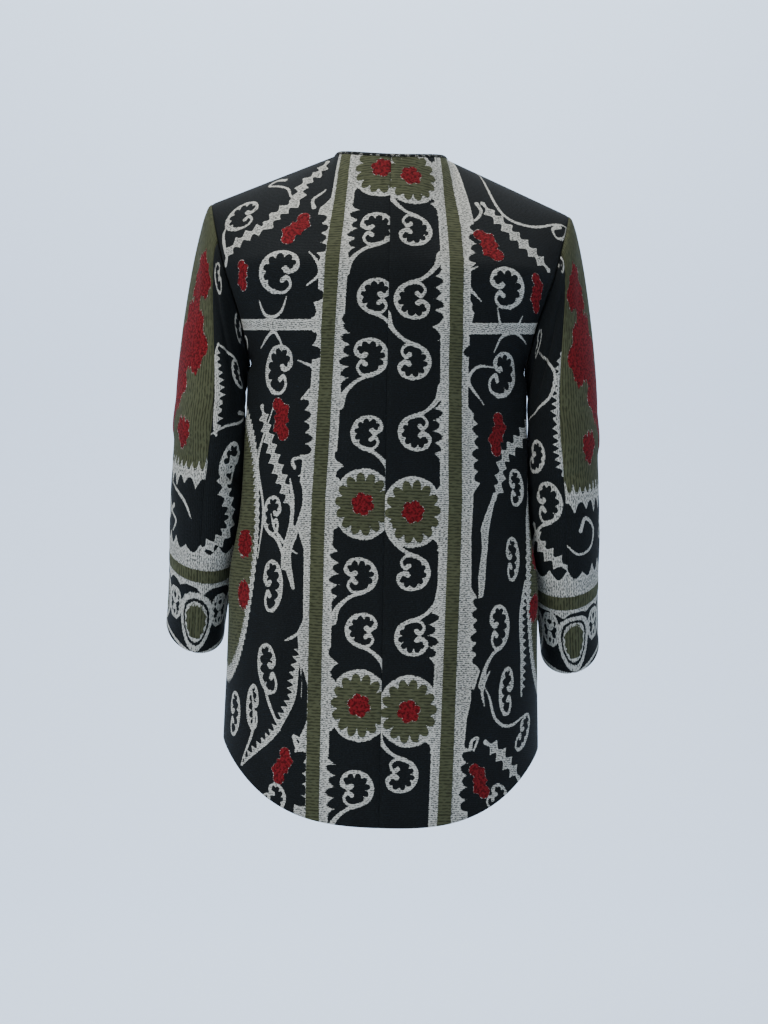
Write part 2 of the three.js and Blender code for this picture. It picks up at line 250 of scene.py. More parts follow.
def armhole_points(angle):
    edge = np.zeros(angle.shape + (3,))
    for side, here in ((BACK, angle <= math.pi), (FRONT, angle > math.pi)):
        if here.any():
            heights = armhole_height(angle[here])[:, None]
            edge[here] = panel_points(side, np.array([1.0]), heights)[:, 0]
    out = np.stack([0.9 + 0.1 * np.cos(angle), 0 * angle, -0.15 + 0 * angle], axis=-1)
    return edge + out * ARMHOLE_GAP


def ring_points(ring, angle):
    z, x, y, across, deep, pitch, yaw = ring
    yaw, pitch = math.radians(yaw), math.radians(pitch)
    outward = np.array([math.cos(yaw), math.sin(yaw), 0.0])
    backward = np.array([
        -math.sin(yaw) * math.cos(pitch),
        math.cos(yaw) * math.cos(pitch),
        -math.sin(pitch),
    ])
    return (
        np.array([x, y, z])
        + across * np.cos(angle)[:, None] * outward
        + deep * np.sin(angle)[:, None] * backward
    )


def sleeve_points(angle, station):
    """Points of the left sleeve, a row for each station and a column for each angle."""
    wrapped = np.mod(angle, 2 * math.pi)
    curves = [armhole_points(wrapped)] + [ring_points(ring, wrapped) for ring in SLEEVE_RINGS]
    last = len(SLEEVE_RINGS)
    result = np.zeros((len(station), len(angle), 3))
    chord = np.linalg.norm(curves[1] - curves[0], axis=-1)[:, None]
    bend = np.cos(wrapped)
    leave = np.stack([0.7 + 0.12 * bend, 0.32 * np.sin(wrapped), -0.5 - 0.28 * bend * bend], axis=-1)
    leave *= 0.29 * chord / np.linalg.norm(leave, axis=-1)[:, None]
    arrive = curves[2] - curves[1]
    arrive *= 0.8 * chord / np.linalg.norm(arrive, axis=-1)[:, None]

    def slope(k):
        if k == last:
            return curves[last] - curves[last - 1]
        return (curves[k + 1] - curves[k - 1]) / 2

    for i, place in enumerate(station):
        k = min(last - 1, int(place))
        low, high = (leave, arrive) if k == 0 else (slope(k), slope(k + 1))
        t = np.full(len(angle), place - k)
        result[i] = hermite(curves[k], low, curves[k + 1], high, t)
    return result


def worn(points, is_right, tilt=SHOULDER_TILT):
    """The pose on the shoulders, with a right-hand piece mirrored first."""
    x = -points[..., 0] if is_right else points[..., 0]
    y, z = points[..., 1], points[..., 2]
    return np.stack([x - SWAY * (z - SWAY_LEVEL), y, z + tilt * x], axis=-1)


def seen_steps(posed, is_right, face=1):
    """Steps of the chart where points show from behind, or from the front."""
    nearer = EYE / (EYE - face * posed[..., 1])
    outward = (-posed[..., 0] if is_right else posed[..., 0]) * nearer / STEP
    down = EYE_LEVEL + (-posed[..., 2] - EYE_LEVEL * STEP) * nearer / STEP
    return np.stack([outward, down], axis=-1)


def sleeve_tilt(z):
    return SHOULDER_TILT + (CUFF_TILT - SHOULDER_TILT) * smooth_share(-z, -UNDERARM, 560)


def arc_lengths(points, axis):
    steps = np.linalg.norm(np.diff(points, axis=axis), axis=-1)
    total = np.cumsum(steps, axis=axis)
    pad = np.zeros_like(np.take(total, [0], axis=axis))
    return np.concatenate([pad, total], axis=axis)


class Chart:
    """Signed distances in mm from every point of a cloth to the edges of its coloured yarns.

    across and along are cloth coordinates. seen holds each point's place on the chart of the
    visible side, in steps of STEP outward from the middle and down from the neck. right is
    +1 where across grows towards the viewer's right.
    """

    REACH = 4.0

    def __init__(self, across, along, seen, right):
        self.across = across.ravel()
        self.along = along.ravel()
        self.seen = seen.reshape(-1, 2)
        self.right = right
        self.fields = {name: np.full(self.across.size, -self.REACH) for name in ("black", "olive", "red")}

    def place(self, step):
        """Cloth coordinates of the point seen at a step of the chart."""
        nearest = np.argmin(((self.seen - step) ** 2).sum(axis=1))
        return np.array([self.across[nearest], self.along[nearest]])

    def level(self, step):
        return self.place(step)[1]

    def path(self, steps):
        return smooth([self.place(step) for step in steps])

    def paint(self, colour, distance, here=slice(None)):
        """Lay one colour inside a shape: distance is positive inside it."""
        distance = np.clip(distance, -self.REACH, self.REACH)
        for name, field in self.fields.items():
            if name == colour:
                field[here] = np.maximum(field[here], distance)
            else:
                field[here] = np.minimum(field[here], -distance)

    def near(self, low, high):
        margin = self.REACH
        return np.flatnonzero(
            (self.across > low[0] - margin) & (self.across < high[0] + margin)
            & (self.along > low[1] - margin) & (self.along < high[1] + margin)
        )

    def stroke(self, colour, path, half, teeth=0.0, pitch=6.0, side=0, cusps=False):
        """A line of yarn: half widths at equal steps along it, and teeth on one side or on both."""
        path = np.asarray(path, dtype=float)
        half = np.atleast_1d(np.asarray(half, dtype=float))
        pad = half.max() + teeth
        here = self.near(path.min(axis=0) - pad, path.max(axis=0) + pad)
        if not here.size:
            return
        points = np.stack([self.across[here], self.along[here]], axis=-1)
        lengths = arc_lengths(path, 0)
        best = np.full(here.size, 1e9)
        place = np.zeros(here.size)
        hand = np.zeros(here.size)
        for start, end, begin, size in zip(path[:-1], path[1:], lengths[:-1], np.diff(lengths)):
            if size < 1e-6:
                continue
            way = (end - start) / size
            offset = points - start
            t = np.clip(offset @ way, 0.0, size)
            gap = np.hypot(offset[:, 0] - way[0] * t, offset[:, 1] - way[1] * t)
            closer = gap < best
            best[closer] = gap[closer]
            place[closer] = begin + t[closer]
            hand[closer] = way[0] * offset[closer, 1] - way[1] * offset[closer, 0]
        width = np.interp(place, np.linspace(0, lengths[-1], half.size), half)
        if teeth:
            count = max(1, round(lengths[-1] / pitch))
            phase = 2 * np.abs(np.mod(place / lengths[-1] * count + 0.5, 1.0) - 0.5)
            wave = 1 - np.sqrt(np.clip(2 * phase - phase ** 2, 0, 1)) if cusps else (1 - phase) ** 1.5
            fade = np.clip(np.minimum(place, lengths[-1] - place) / pitch, 0.25, 1.0)
            facing = 1.0 if side == 0 else (hand * side * self.right > 0)
            width = width + teeth * wave * fade * facing
        self.paint(colour, width - best, here)

    def lobes(self, colour, path, pitch, depth, side, splay=0.0):
        """Rounded lobes on one side of a path, with deep cusps between them."""
        lengths = arc_lengths(path, 0)
        count = max(2, int(round(lengths[-1] / pitch)))
        wide = lengths[-1] / count * 0.56
        for i in range(count):
            middle = (i + 0.5) * lengths[-1] / count
            at = [np.array([np.interp(middle + d, lengths, path[:, k]) for k in (0, 1)]) for d in (-2, 0, 2)]
            way = (at[2] - at[0]) / max(np.linalg.norm(at[2] - at[0]), 1e-6)
            out = np.array([-way[1], way[0]]) * side * self.right + way * splay * (2 * i / (count - 1) - 1)
            out /= np.linalg.norm(out)
            sideways = np.array([-out[1], out[0]])
            long = depth * (1 + 0.12 * math.sin(2.4 * i + pitch))
            here = self.near(at[1] - long - wide, at[1] + long + wide)
            offset = np.stack([self.across[here], self.along[here]], axis=-1) - at[1]
            reach = np.hypot(offset @ sideways / wide, offset @ out / long)
            self.paint(colour, (1 - reach) * wide, here)

    def flower(self, colour, centre, radius, petals, depth, turn=0.0, tall=1.0):
        """A disc with a lobed edge, taller than it is wide by a share."""
        here = self.near(centre - radius * tall, centre + radius * tall)
        x, y = self.across[here] - centre[0], (self.along[here] - centre[1]) / tall
        phase = np.mod((np.arctan2(y, x) + turn) / (2 * math.pi) * petals, 1.0) * 2 - 1
        edge = radius - depth * (1 - np.sqrt(1 - 0.98 * phase ** 2))
        self.paint(colour, (edge - np.hypot(x, y)) * 0.8, here)


def smooth(points, steps=5):
    """A soft curve through a few points."""
    points = np.asarray(points, dtype=float)
    if len(points) < 3:
        return points
    ends = np.vstack([2 * points[0] - points[1], points, 2 * points[-1] - points[-2]])
    t = np.linspace(0, 1, steps, endpoint=False)[:, None]
    runs = []
    for a, b, c, d in zip(ends[:-3], ends[1:-2], ends[2:-1], ends[3:]):
        runs.append(0.5 * (2 * b + (c - a) * t + (2 * a - 5 * b + 4 * c - d) * t ** 2
                           + (3 * b - a - 3 * c + d) * t ** 3))
    return np.vstack(runs + [points[-1:]])


# Motifs, in units of a curl's radius, x to the viewer's right and y down
CURL_HEAD = smooth([(-0.3, -0.12), (-0.55, -0.1), (-0.85, -0.35), (-0.66, -0.85), (-0.05, -1.05),
                    (0.62, -0.82), (0.98, -0.15), (0.78, 0.55), (0.2, 0.95)])
CURL_TAIL = smooth([(0.2, 0.95), (-0.5, 1.2), (-1.0, 1.6), (-1.35, 2.05), (-1.55, 2.7)])
CURL_HOOK = smooth([(0.2, 0.95), (-0.4, 0.92), (-0.68, 0.55), (-0.45, 0.2), (-0.22, 0.36)])
CRESCENT = smooth([(-0.9, -0.5), (-0.62, 0.35), (0.0, 0.62), (0.62, 0.35), (0.95, -0.45)])
BLOT = smooth([(-0.15, -0.8), (0.12, -0.3), (-0.08, 0.3), (0.12, 0.8)])


def moved(chart, shape, centre, size, turn, flip):
    """A motif on the cloth: size is its radius or (wide, tall), turn in degrees clockwise as seen."""
    turn = math.radians(turn)
    shape = shape * np.broadcast_to(size, 2) * (flip, 1)
    x = shape[:, 0] * math.cos(turn) - shape[:, 1] * math.sin(turn)
    y = shape[:, 0] * math.sin(turn) + shape[:, 1] * math.cos(turn)
    return centre + np.stack([x * chart.right, y], axis=-1)


# Half widths along a curl's three lines, in mm, and the lobes of the leaf inside it: depth, pitch
HEAD_WIDTHS = np.array([2.7, 1.5, 1.6, 1.9, 2.3, 2.1])
HOOK_WIDTHS = np.array([1.8, 1.5, 1.5, 2.7])
TAIL_WIDTHS = (1.8, 1.8, 2.6, 4.5)
CURL_LOBES = (7.0, 12.0)
CURL_SIZE = 20  # the radius that these are for


def curl(chart, centre, size, turn=0.0, flip=1, tail=False):
    """A scroll whose line is scalloped by the lobes of the dark leaf that it holds."""
    bold = np.mean(size) / CURL_SIZE
    head, hook, end = (moved(chart, shape, centre, size, turn, flip)
                       for shape in (CURL_HEAD, CURL_HOOK, CURL_TAIL))
    depth, pitch = CURL_LOBES
    chart.stroke("ground", head, HEAD_WIDTHS * bold ** 0.5, depth * bold, pitch * bold, flip, cusps=True)
    chart.stroke("ground", hook, HOOK_WIDTHS * bold ** 0.5)
    if tail:
        chart.stroke("ground", end, TAIL_WIDTHS)


def rosette(chart, centre, size):
    chart.flower("ground", centre, size * 1.07, 9, 0.8, tall=1.14)
    chart.flower("olive", centre, size * 0.97, 14, size * 0.36, 0.3, tall=1.12)
    chart.flower("red", centre, size * 0.4, 6, size * 0.14, 0.8)


def set_out(chart, rows):
    """Place a table of motifs: kind, x and y in steps, size in mm, turn, flip."""
    for kind, x, y, size, turn, flip in rows:
        centre = chart.place((x, y))
        if kind == "crescent":
            line = moved(chart, CRESCENT, centre, size, turn, flip)
            chart.stroke("ground", line, (0.6, 1.6, 2.0, 1.6, 0.6))
        elif kind == "blot":
            path = moved(chart, BLOT, centre, size, turn, 1)
            chart.stroke("red", path, (0.32 * size, 0.42 * size, 0.36 * size), 0.22 * size, 0.5 * size)
        else:
            curl(chart, centre, size, turn, flip, tail=kind == "tailed curl")


# Free lines: colour, half widths along the line, then the teeth's height, pitch and side
LINE_STYLES = {
    "line": ("ground", (0.7, 1.6, 1.9, 1.6, 0.7)),
    "hook": ("ground", (0.9, 1.5, 1.5, 2.6)),
    "thorns": ("ground", (1.2, 2.4, 3.0, 3.0, 2.4, 1.4), 7.6, 13.0),
    "comb": ("ground", (0.9, 2.4, 2.6, 2.4, 0.9), 8.0, 8.5, 1),
    "pale": ("ground", (2.0, 5.0, 7.0, 5.0, 2.0)),
    "leaf": ("black", (0.6, 4.0, 6.0, 5.0, 2.0)),
}
LOBE_PITCH = 12.6


def draw(chart, rows):
    """Free lines of the chart: kind, and the steps that they pass."""
    for kind, steps in rows:
        path = chart.path(steps)
        if kind == "lobes":
            chart.lobes("black", path, LOBE_PITCH, 14.0, chart.right, 0.3)
        else:
            colour, half, *teeth = LINE_STYLES[kind]
            chart.stroke(colour, path, half, *teeth)


STEP = 1.17  # one step of the chart, mm at the distance of the shoulder line
EYE = 2600.0  # the chart shows the jacket from this far, mm
EYE_LEVEL = 354.0  # steps from the neck down to the eye
HIDDEN = 1e6  # a place off the chart, for points that turn away from the eye
# How much cloth the centre back seam takes in at a drop below the neck, left and right, mm
TAKEN_IN = {False: ((0, 18), (400, 0), (800, 0)), True: ((0, 3), (400, -5), (800, 4))}
STRIPE = (68.0, 84.0)  # the olive stripes, mm from the middle of the uncut repeat
COLUMN = 58.0  # outer edge of the black column between a stripe and the seam
NOTCH = 44.0  # how far the pale margin cuts into it between two lobes
BAND = ((161, 172), (165, 176))  # the pale band from stripe to armhole, left and right, steps down

# The scroll beside the centre back seam: kind, steps down, mm across, radius
SCROLL_LEFT = (("rosette", 15, 27, 33), ("out", 73, 29, 20), ("in", 137, 25, 19),
               ("out", 199, 27, 20), ("in", 275, 24, 18), ("rosette", 345, 25, 33),
               ("out", 417, 27, 19), ("in", 472, 23, 18), ("rosette", 547, 25, 33),
               ("out", 631, 27, 19))
SCROLL_RIGHT = (("rosette", 20, 26, 32), ("in", 72, 29, 19), ("out", 142, 27, 20),
                ("in", 203, 27, 19), ("out", 274, 30, 19), ("rosette", 354, 27, 33),
                ("in", 414, 29, 19), ("out", 479, 32, 19), ("rosette", 553, 31, 33),
                ("in", 617, 25, 18))

# Beyond the stripes: where the black ground starts, in steps down and mm across
MARGIN_LEFT = ((0, 89), (40, 89), (50, 100), (92, 100), (98, 90), (130, 90), (140, 98), (180, 94),
               (228, 94), (240, 106), (292, 106), (300, 98), (330, 100), (364, 103), (390, 92),
               (460, 91), (474, 98), (520, 92), (585, 92), (592, 98), (680, 98))
MARGIN_RIGHT = ((0, 101), (30, 99), (60, 100), (104, 100), (110, 92), (142, 92), (150, 98),
                (180, 92), (250, 92), (262, 107), (325, 107), (335, 98), (380, 96), (430, 98),
                (440, 106), (506, 106), (512, 112), (535, 104), (560, 98), (588, 96), (592, 104), (680, 104))
LINES_LEFT = (
    ("thorns", ((57, 4), (66, 14), (73, 19), (82, 28), (88, 42), (99, 50), (109, 58), (119, 68), (131, 74),
                (145, 82), (155, 92), (159, 106))),
    ("hook", ((89, 44), (94, 38), (97, 31), (106, 28), (115, 28), (108, 23), (99, 22))),
    ("line", ((158, 102), (161, 88), (161, 76), (157, 66))),
    ("hook", ((59, 32), (65, 36), (72, 42), (71, 49))),
    ("line", ((76, 94), (67, 104), (66, 116), (78, 127))),
    ("lobes", ((69, 58), (69, 94))),
    ("lobes", ((70, 132), (76, 146), (92, 154))),
    ("lobes", ((112, 178), (90, 178), (76, 186), (72, 200))),
    ("line", ((124, 190), (112, 173), (101, 192))),
    ("line", ((87, 202), (72, 210), (68, 222), (77, 235))),
    ("lobes", ((86, 244), (84, 296))),
    ("hook", ((86, 318), (78, 314), (82, 300), (92, 302), (90, 310))),
    ("thorns", ((122, 248), (118, 276), (109, 306), (98, 336), (92, 352))),
    ("pale", ((94, 320), (90, 345), (92, 370), (98, 396), (92, 430))),
    ("leaf", ((100, 298), (90, 322), (86, 342), (90, 366))),
    ("line", ((112, 250), (126, 300), (122, 350), (127, 400))),
    ("line", ((88, 396), (100, 386), (110, 370), (114, 356))),
    ("line", ((86, 474), (93, 480), (100, 482))),
    ("comb", ((82, 486), (88, 512), (92, 540), (102, 562), (112, 578), (128, 592), (143, 606))),
    ("leaf", ((83, 510), (80, 540), (84, 566), (96, 590))),
    ("line", ((104, 572), (116, 545), (123, 520))),
    ("line", ((143, 604), (133, 570), (134, 530))),
    ("hook", ((80, 600), (84, 584), (91, 578), (88, 588))),
    ("lobes", ((88, 594), (87, 646))),
)
MOTIFS_LEFT = (
    ("curl", 143, 58, (20, 19), -8, -1), ("curl", 106, 114, 24, 10, -1), ("blot", 89, 70, 20, 35, 1),
    ("blot", 143, 116, 14, 8, 1), ("crescent", 113, 148, 20, 0, 1), ("curl", 107, 212, (21, 27), 8, -1),
    ("blot", 105, 260, 21, -10, 1), ("tailed curl", 113, 358, (13, 21), 0, -1),
    ("curl", 113, 428, (13, 28), 0, 1), ("curl", 117, 511, (14, 27), -12, -1),
    ("curl", 150, 556, (11, 24), 4, 1), ("curl", 133, 550, (9, 24), 0, -1), ("blot", 103, 608, 18, 25, 1),
    ("curl", 112, 640, 15, 50, 1), ("curl", 151, 188, 9, 0, 1),
)
LINES_RIGHT = (
    ("line", ((91, 14), (103, 32), (113, 50), (125, 62), (141, 68), (155, 69), (173, 66), (185, 70))),
    ("thorns", ((98, 46), (107, 56), (117, 64), (126, 74), (135, 82), (146, 92), (155, 102), (163, 112))),
    ("hook", ((185, 70), (180, 80), (172, 80), (168, 72), (174, 68))),
    ("hook", ((78, 62), (90, 62), (96, 54), (92, 46))),
    ("lobes", ((96, 68), (96, 104))),
    ("line", ((92, 108), (82, 116), (84, 130), (96, 143))),
    ("lobes", ((98, 146), (100, 156), (112, 162), (130, 160))),
    ("lobes", ((140, 176), (104, 176), (92, 184), (90, 198))),
    ("line", ((109, 194), (117, 179), (131, 176), (141, 186))),
    ("line", ((109, 209), (92, 209), (84, 224), (99, 246))),
    ("lobes", ((98, 256), (98, 324))),
    ("thorns", ((137, 258), (131, 282), (122, 296), (117, 308), (114, 328), (109, 340))),
    ("pale", ((109, 336), (100, 368), (97, 398), (96, 430), (94, 446))),
    ("leaf", ((91, 354), (92, 384), (90, 410), (91, 430))),
    ("line", ((138, 242), (139, 300), (136, 350), (138, 404))),
    ("lobes", ((98, 442), (97, 506))),
    ("comb", ((136, 536), (137, 500), (135, 460), (138, 424))),
    ("line", ((96, 524), (104, 540), (110, 560), (124, 568), (140, 556))),
    ("line", ((104, 514), (96, 530), (98, 548))),
    ("leaf", ((85, 528), (90, 552), (100, 580), (104, 600))),
    ("thorns", ((100, 584), (112, 592), (124, 606), (134, 620))),
    ("hook", ((88, 594), (92, 580), (86, 582), (85, 590))),
    ("lobes", ((88, 594), (86, 652))),
)
MOTIFS_RIGHT = (
    ("curl", 122, 130, 22, -8, 1), ("blot", 104, 86, 20, -25, 1), ("blot", 152, 134, 17, -10, 1),
    ("crescent", 125, 162, 20, 0, 1), ("curl", 117, 218, (22, 26), 25, 1), ("blot", 113, 276, 21, 18, 1),
    ("blot", 141, 214, 10, 0, 1), ("curl", 129, 330, (10, 20), 0, 1), ("curl", 127, 402, (10, 24), 0, 1),
    ("tailed curl", 114, 470, (14, 24), 0, 1), ("curl", 122, 534, (10, 26), 0, -1),
    ("curl", 138, 575, (10, 22), 30, 1), ("blot", 95, 622, 18, -20, 1), ("curl", 112, 640, 14, 40, 1),
)
# The olive medallion at each side seam: the step at its inner edge, left and right, and its size in mm
MEDALLION = ((129, 380), (138, 392))
MEDALLION_SIZE = (58.0, 158.0)


def back_pattern(chart, is_right):
    across, along = chart.across, chart.along
    margin = np.array(MARGIN_RIGHT if is_right else MARGIN_LEFT, dtype=float)
    levels = [chart.level((90, down)) for down in margin[:, 0]]
    chart.paint("black", COLUMN - across)
    chart.paint("black", across - np.interp(along, levels, margin[:, 1]))
    scroll(chart, SCROLL_RIGHT if is_right else SCROLL_LEFT, is_right)
    medallion(chart, is_right)
    draw(chart, LINES_RIGHT if is_right else LINES_LEFT)
    set_out(chart, MOTIFS_RIGHT if is_right else MOTIFS_LEFT)
    band(chart, BAND[is_right])
    chart.paint("olive", np.minimum(across - STRIPE[0], STRIPE[1] - across))


def band(chart, edges):
    """A pale band that looks level from the eye's place, from the stripe to the armhole."""
    down = chart.seen[:, 1]
    inside = np.minimum(down - edges[0], edges[1] - down) * STEP
    chart.paint("ground", np.minimum(inside, chart.across - STRIPE[1]))


# Lobed edges of the scroll's column: beside an outer curl, and past an inner one, mm
BESIDE_OUTER = (-37, 33)
PAST_INNER = 38
PAST_SPAN = (-16, 14)


def scroll(chart, rows, upwards):
    """The scroll in its column: lobed edges first, then rosettes and curls over them."""
    rows = [(kind, np.array([middle, chart.level((40, down))]), size) for kind, down, middle, size in rows]
    for kind, centre, size in rows:
        if kind == "out":
            lobed_edge(chart, centre[1] + BESIDE_OUTER[0], centre[1] + BESIDE_OUTER[1])
        elif kind == "in":
            place = centre[1] + (-PAST_INNER if upwards else PAST_INNER)
            lobed_edge(chart, place + PAST_SPAN[0], place + PAST_SPAN[1], 14.5)
    for kind, centre, size in rows:
        if kind == "rosette":
            chart.stroke("ground", [centre + (size, -24), centre + (size, 24)], 5.5)
            rosette(chart, centre, size)
        else:
            curl(chart, centre, size, 180.0 if upwards else 0.0, 1 if kind == "out" else -1, tail=True)


def lobed_edge(chart, start, end, pitch=LOBE_PITCH):
    """Black lobes that reach from the scroll's column into the pale margin beside the stripe."""
    chart.paint("ground", box_distance(chart, (NOTCH, STRIPE[0]), (start, end)))
    edge = np.array([(NOTCH, start), (NOTCH, end)], dtype=float)
    chart.lobes("black", edge, pitch, COLUMN - NOTCH + 2, -chart.right, 0.35)


def box_distance(chart, wide, tall):
    across = np.minimum(chart.across - wide[0], wide[1] - chart.across)
    along = np.minimum(chart.along - tall[0], tall[1] - chart.along)
    return np.minimum(across, along)


def medallion(chart, is_right):
    """A large olive medallion with a ragged pale edge, split by the side seam."""
    centre, (wide, tall) = chart.place(MEDALLION[is_right]), MEDALLION_SIZE
    x, y = (chart.across - centre[0] - wide) / wide, (chart.along - centre[1]) / tall
    ragged = 0.05 * np.abs(np.mod(np.arctan2(y, x) * 17, 1.0) - 0.5)
    reach = np.hypot(x, y)
    chart.paint("ground", (1.08 - reach - 1.6 * ragged) * wide)
    chart.paint("olive", (0.98 - reach - 2.4 * ragged) * wide)
    for down in (0.05, 0.42):
        chart.paint("red", (0.2 - np.hypot(x + 0.72, (y - down) * 1.7) - 2 * ragged) * wide)


# The fronts: a stripe near the open edge and one column of scrolls, then the same outer ground
FRONT_SCROLL = (("out", 112, 24, 19), ("in", 176, 24, 19), ("rosette", 250, 30, 30),
                ("out", 322, 28, 19), ("in", 384, 24, 19), ("rosette", 456, 30, 30),
                ("out", 528, 26, 19), ("in", 576, 24, 14))
FRONT_MOTIFS = (
    ("curl", 104, 62, 20, 40, 1), ("blot", 128, 92, 19, 30, 1), ("curl", 132, 128, 19, 200, -1),
    ("crescent", 98, 128, 20, -60, 1), ("curl", 104, 202, 22, 100, 1), ("blot", 120, 248, 20, 10, 1),
    ("curl", 102, 298, 20, 60, -1), ("crescent", 120, 324, 20, 20, 1), ("curl", 120, 366, 21, 150, 1),
    ("blot", 96, 402, 19, -20, 1), ("curl", 102, 460, 21, 20, -1), ("curl", 126, 514, 20, 120, 1),
    ("blot", 100, 546, 18, 25, 1), ("crescent", 120, 562, 18, 0, 1),
)
FRONT_LINES = (
    ("thorns", ((82, 34), (96, 76), (114, 104), (136, 120), (148, 146))),
    ("thorns", ((128, 180), (122, 230), (108, 274), (92, 308))),
    ("line", ((92, 342), (108, 384), (100, 428), (88, 462))),
    ("comb", ((128, 444), (118, 496), (96, 530))),
    ("lobes", ((86, 60), (86, 150))), ("lobes", ((86, 196), (86, 330))), ("lobes", ((86, 400), (86, 520))),
)


FRONT_MARGIN = 94.0  # where the black ground beyond a front's stripe starts, mm across


def front_pattern(chart, is_right):
    across = chart.across
    chart.paint("black", COLUMN - across)
    chart.paint("black", across - FRONT_MARGIN)
    scroll(chart, FRONT_SCROLL, not is_right)
    band(chart, BAND[is_right])
    medallion(chart, is_right)
    draw(chart, FRONT_LINES)
    set_out(chart, FRONT_MOTIFS)
    chart.paint("olive", np.minimum(across - STRIPE[0], STRIPE[1] - across))


# Down the sleeve, in mm from the ring below the armhole: the edges of its zones
ZONES = {"olive": 76, "spikes": 92, "pale": 166, "stripe": (185, 199), "pale_end": 204, "leaf": 240,
         "line": 273, "hem": 279}
LOWER_RIGHT = 8.0  # the right sleeve's zones sit lower on the arm, mm
DROOP = 7.0  # how far the zones below the elbow hang down at the back of the arm
UNDER_LEFT = (
    ("comb", ((170, 276), (168, 240), (170, 200), (168, 186))),
    ("line", ((168, 186), (158, 192), (148, 202))),
    ("hook", ((178, 276), (160, 268), (146, 264), (140, 258), (146, 254))),
    ("thorns", ((146, 296), (158, 312), (160, 332), (154, 356), (160, 376), (176, 388), (190, 392))),
)
UNDER_LEFT_MOTIFS = (
    ("curl", 167, 120, (12, 18), 160, 1), ("curl", 147, 168, 17, 190, 1), ("curl", 147, 216, (11, 16), 0, -1),
    ("curl", 154, 306, (13, 22), 10, -1),
)
UNDER_RIGHT = (
    ("comb", ((178, 196), (176, 240), (180, 280), (184, 316))),
    ("line", ((152, 190), (166, 208), (166, 236), (150, 254), (144, 262))),
    ("thorns", ((148, 366), (156, 388), (170, 402), (190, 410))),
)
UNDER_RIGHT_MOTIFS = (
    ("curl", 153, 186, (11, 16), 20, 1), ("curl", 150, 300, (13, 16), 30, 1),
    ("tailed curl", 162, 346, (17, 21), 0, 1), ("curl", 160, 100, (8, 14), 0, 1),
)
TOP_LEFT = (("line", ((212, 324), (202, 342), (194, 360))),
            ("hook", ((212, 372), (209, 362), (213, 352), (211, 346))))
TOP_RIGHT = (("hook", ((182, 388), (194, 396), (206, 388), (208, 370), (200, 360), (196, 372))),)
TOP_CURLS = ((-34, 128, 15, 200), (-88, 126, 15, 60), (-8, 130, 14, 20))
UNDER_CURLS = ((178, 20, 18, 200), (214, 60, 18, 30), (180, 100, 18, 90), (218, 140, 17, 250),
               (250, 100, 16, 10), (178, 150, 16, 40), (250, 30, 17, 120))


# Patches of red floats on the upper arm: place across and along, half width, half height, mm
RED_PATCHES = (((38, -142), 25, 34), ((25, -72), 33, 54), ((2, -20), 24, 40), ((-16, 26), 17, 30),
               ((28, 34), 14, 24), ((-46, -84), 30, 60), ((-86, -20), 26, 56))
FIRST_LEAF = (58, 52)  # the first leaf of the cuff, left and right, mm round the arm
LEAF_PITCH = 64
LEAF_HALF = (20.0, 30.0)
LEAF_EDGE = 17  # mm that one unit of a leaf's reach stands for


def sleeve_pattern(chart, is_top, is_right, lean):
    """across runs round the arm from its outer line by the back, along down it, lean is its back share."""
    across = chart.across
    along = chart.along - DROOP * lean.ravel() * smooth_share(chart.along, 60, 150)
    if is_right:
        along = along - LOWER_RIGHT * smooth_share(along, 0, 70) * (1 - smooth_share(along, 205, 225))
    chart.paint("black", np.full(across.size, chart.REACH))
    if is_top:
        chart.paint("olive", ZONES["olive"] - along)
        for centre, wide, tall in RED_PATCHES:
            ragged_red(chart, centre, wide, tall)
        spikes(chart, along, ZONES["olive"] + 4, 9.0, 15.0, up=True)
        chart.paint("ground", np.minimum(along - ZONES["olive"] - 2, ZONES["spikes"] - 6 - along))
        spikes(chart, along, ZONES["spikes"] - 7, 17.0, 13.0, up=False)
        draw(chart, TOP_RIGHT if is_right else TOP_LEFT)
        set_curls(chart, TOP_CURLS)
    else:
        draw(chart, UNDER_RIGHT if is_right else UNDER_LEFT)
        set_out(chart, UNDER_RIGHT_MOTIFS if is_right else UNDER_LEFT_MOTIFS)
        set_curls(chart, UNDER_CURLS)
    spikes(chart, along, ZONES["pale"], 19.0, 10.0, up=True)
    chart.paint("ground", np.minimum(along - ZONES["pale"], ZONES["pale_end"] - along))
    spikes(chart, along, ZONES["pale_end"] - 1, 29.0, 7.0, up=False)
    chart.paint("olive", np.minimum(along - ZONES["stripe"][0], ZONES["stripe"][1] - along))
    first = FIRST_LEAF[is_right]
    for k in range(-4, 5):
        middle = first + k * LEAF_PITCH
        leaf_oval(chart, along, middle)
        for offset, flip in ((-32, 1), (30, -1)):
            curl(chart, np.array([middle + offset * 0.94, ZONES["leaf"] - 4]), (9, 16), 0, flip * chart.right)
    wave = ZONES["line"] - 4 * np.abs(np.sin((across - first) * math.pi / LEAF_PITCH))
    chart.paint("ground", 1.6 - np.abs(along - wave))
    chart.paint("ground", 1.4 - np.abs(along - ZONES["line"] - 3))
    chart.paint("olive", along - ZONES["hem"])


def set_curls(chart, rows):
    for across, along, size, turn in rows:
        curl(chart, np.array([across, along], dtype=float), size, turn, 1)


def ragged_red(chart, centre, wide, tall):
    """A patch of long red floats with ragged ends."""
    x = (chart.across - centre[0]) / wide
    y = (chart.along - centre[1]) / tall
    angle = np.arctan2(y, x)
    edge = 0.9 + 0.12 * np.sin(3 * angle + centre[0]) + 0.08 * np.sin(8 * angle)
    comb = 0.3 * np.abs(np.mod(chart.across / 6.5, 1.0) - 0.5) * np.abs(np.sin(angle))
    chart.paint("red", (edge - comb - np.hypot(x, y)) * wide * 0.8)


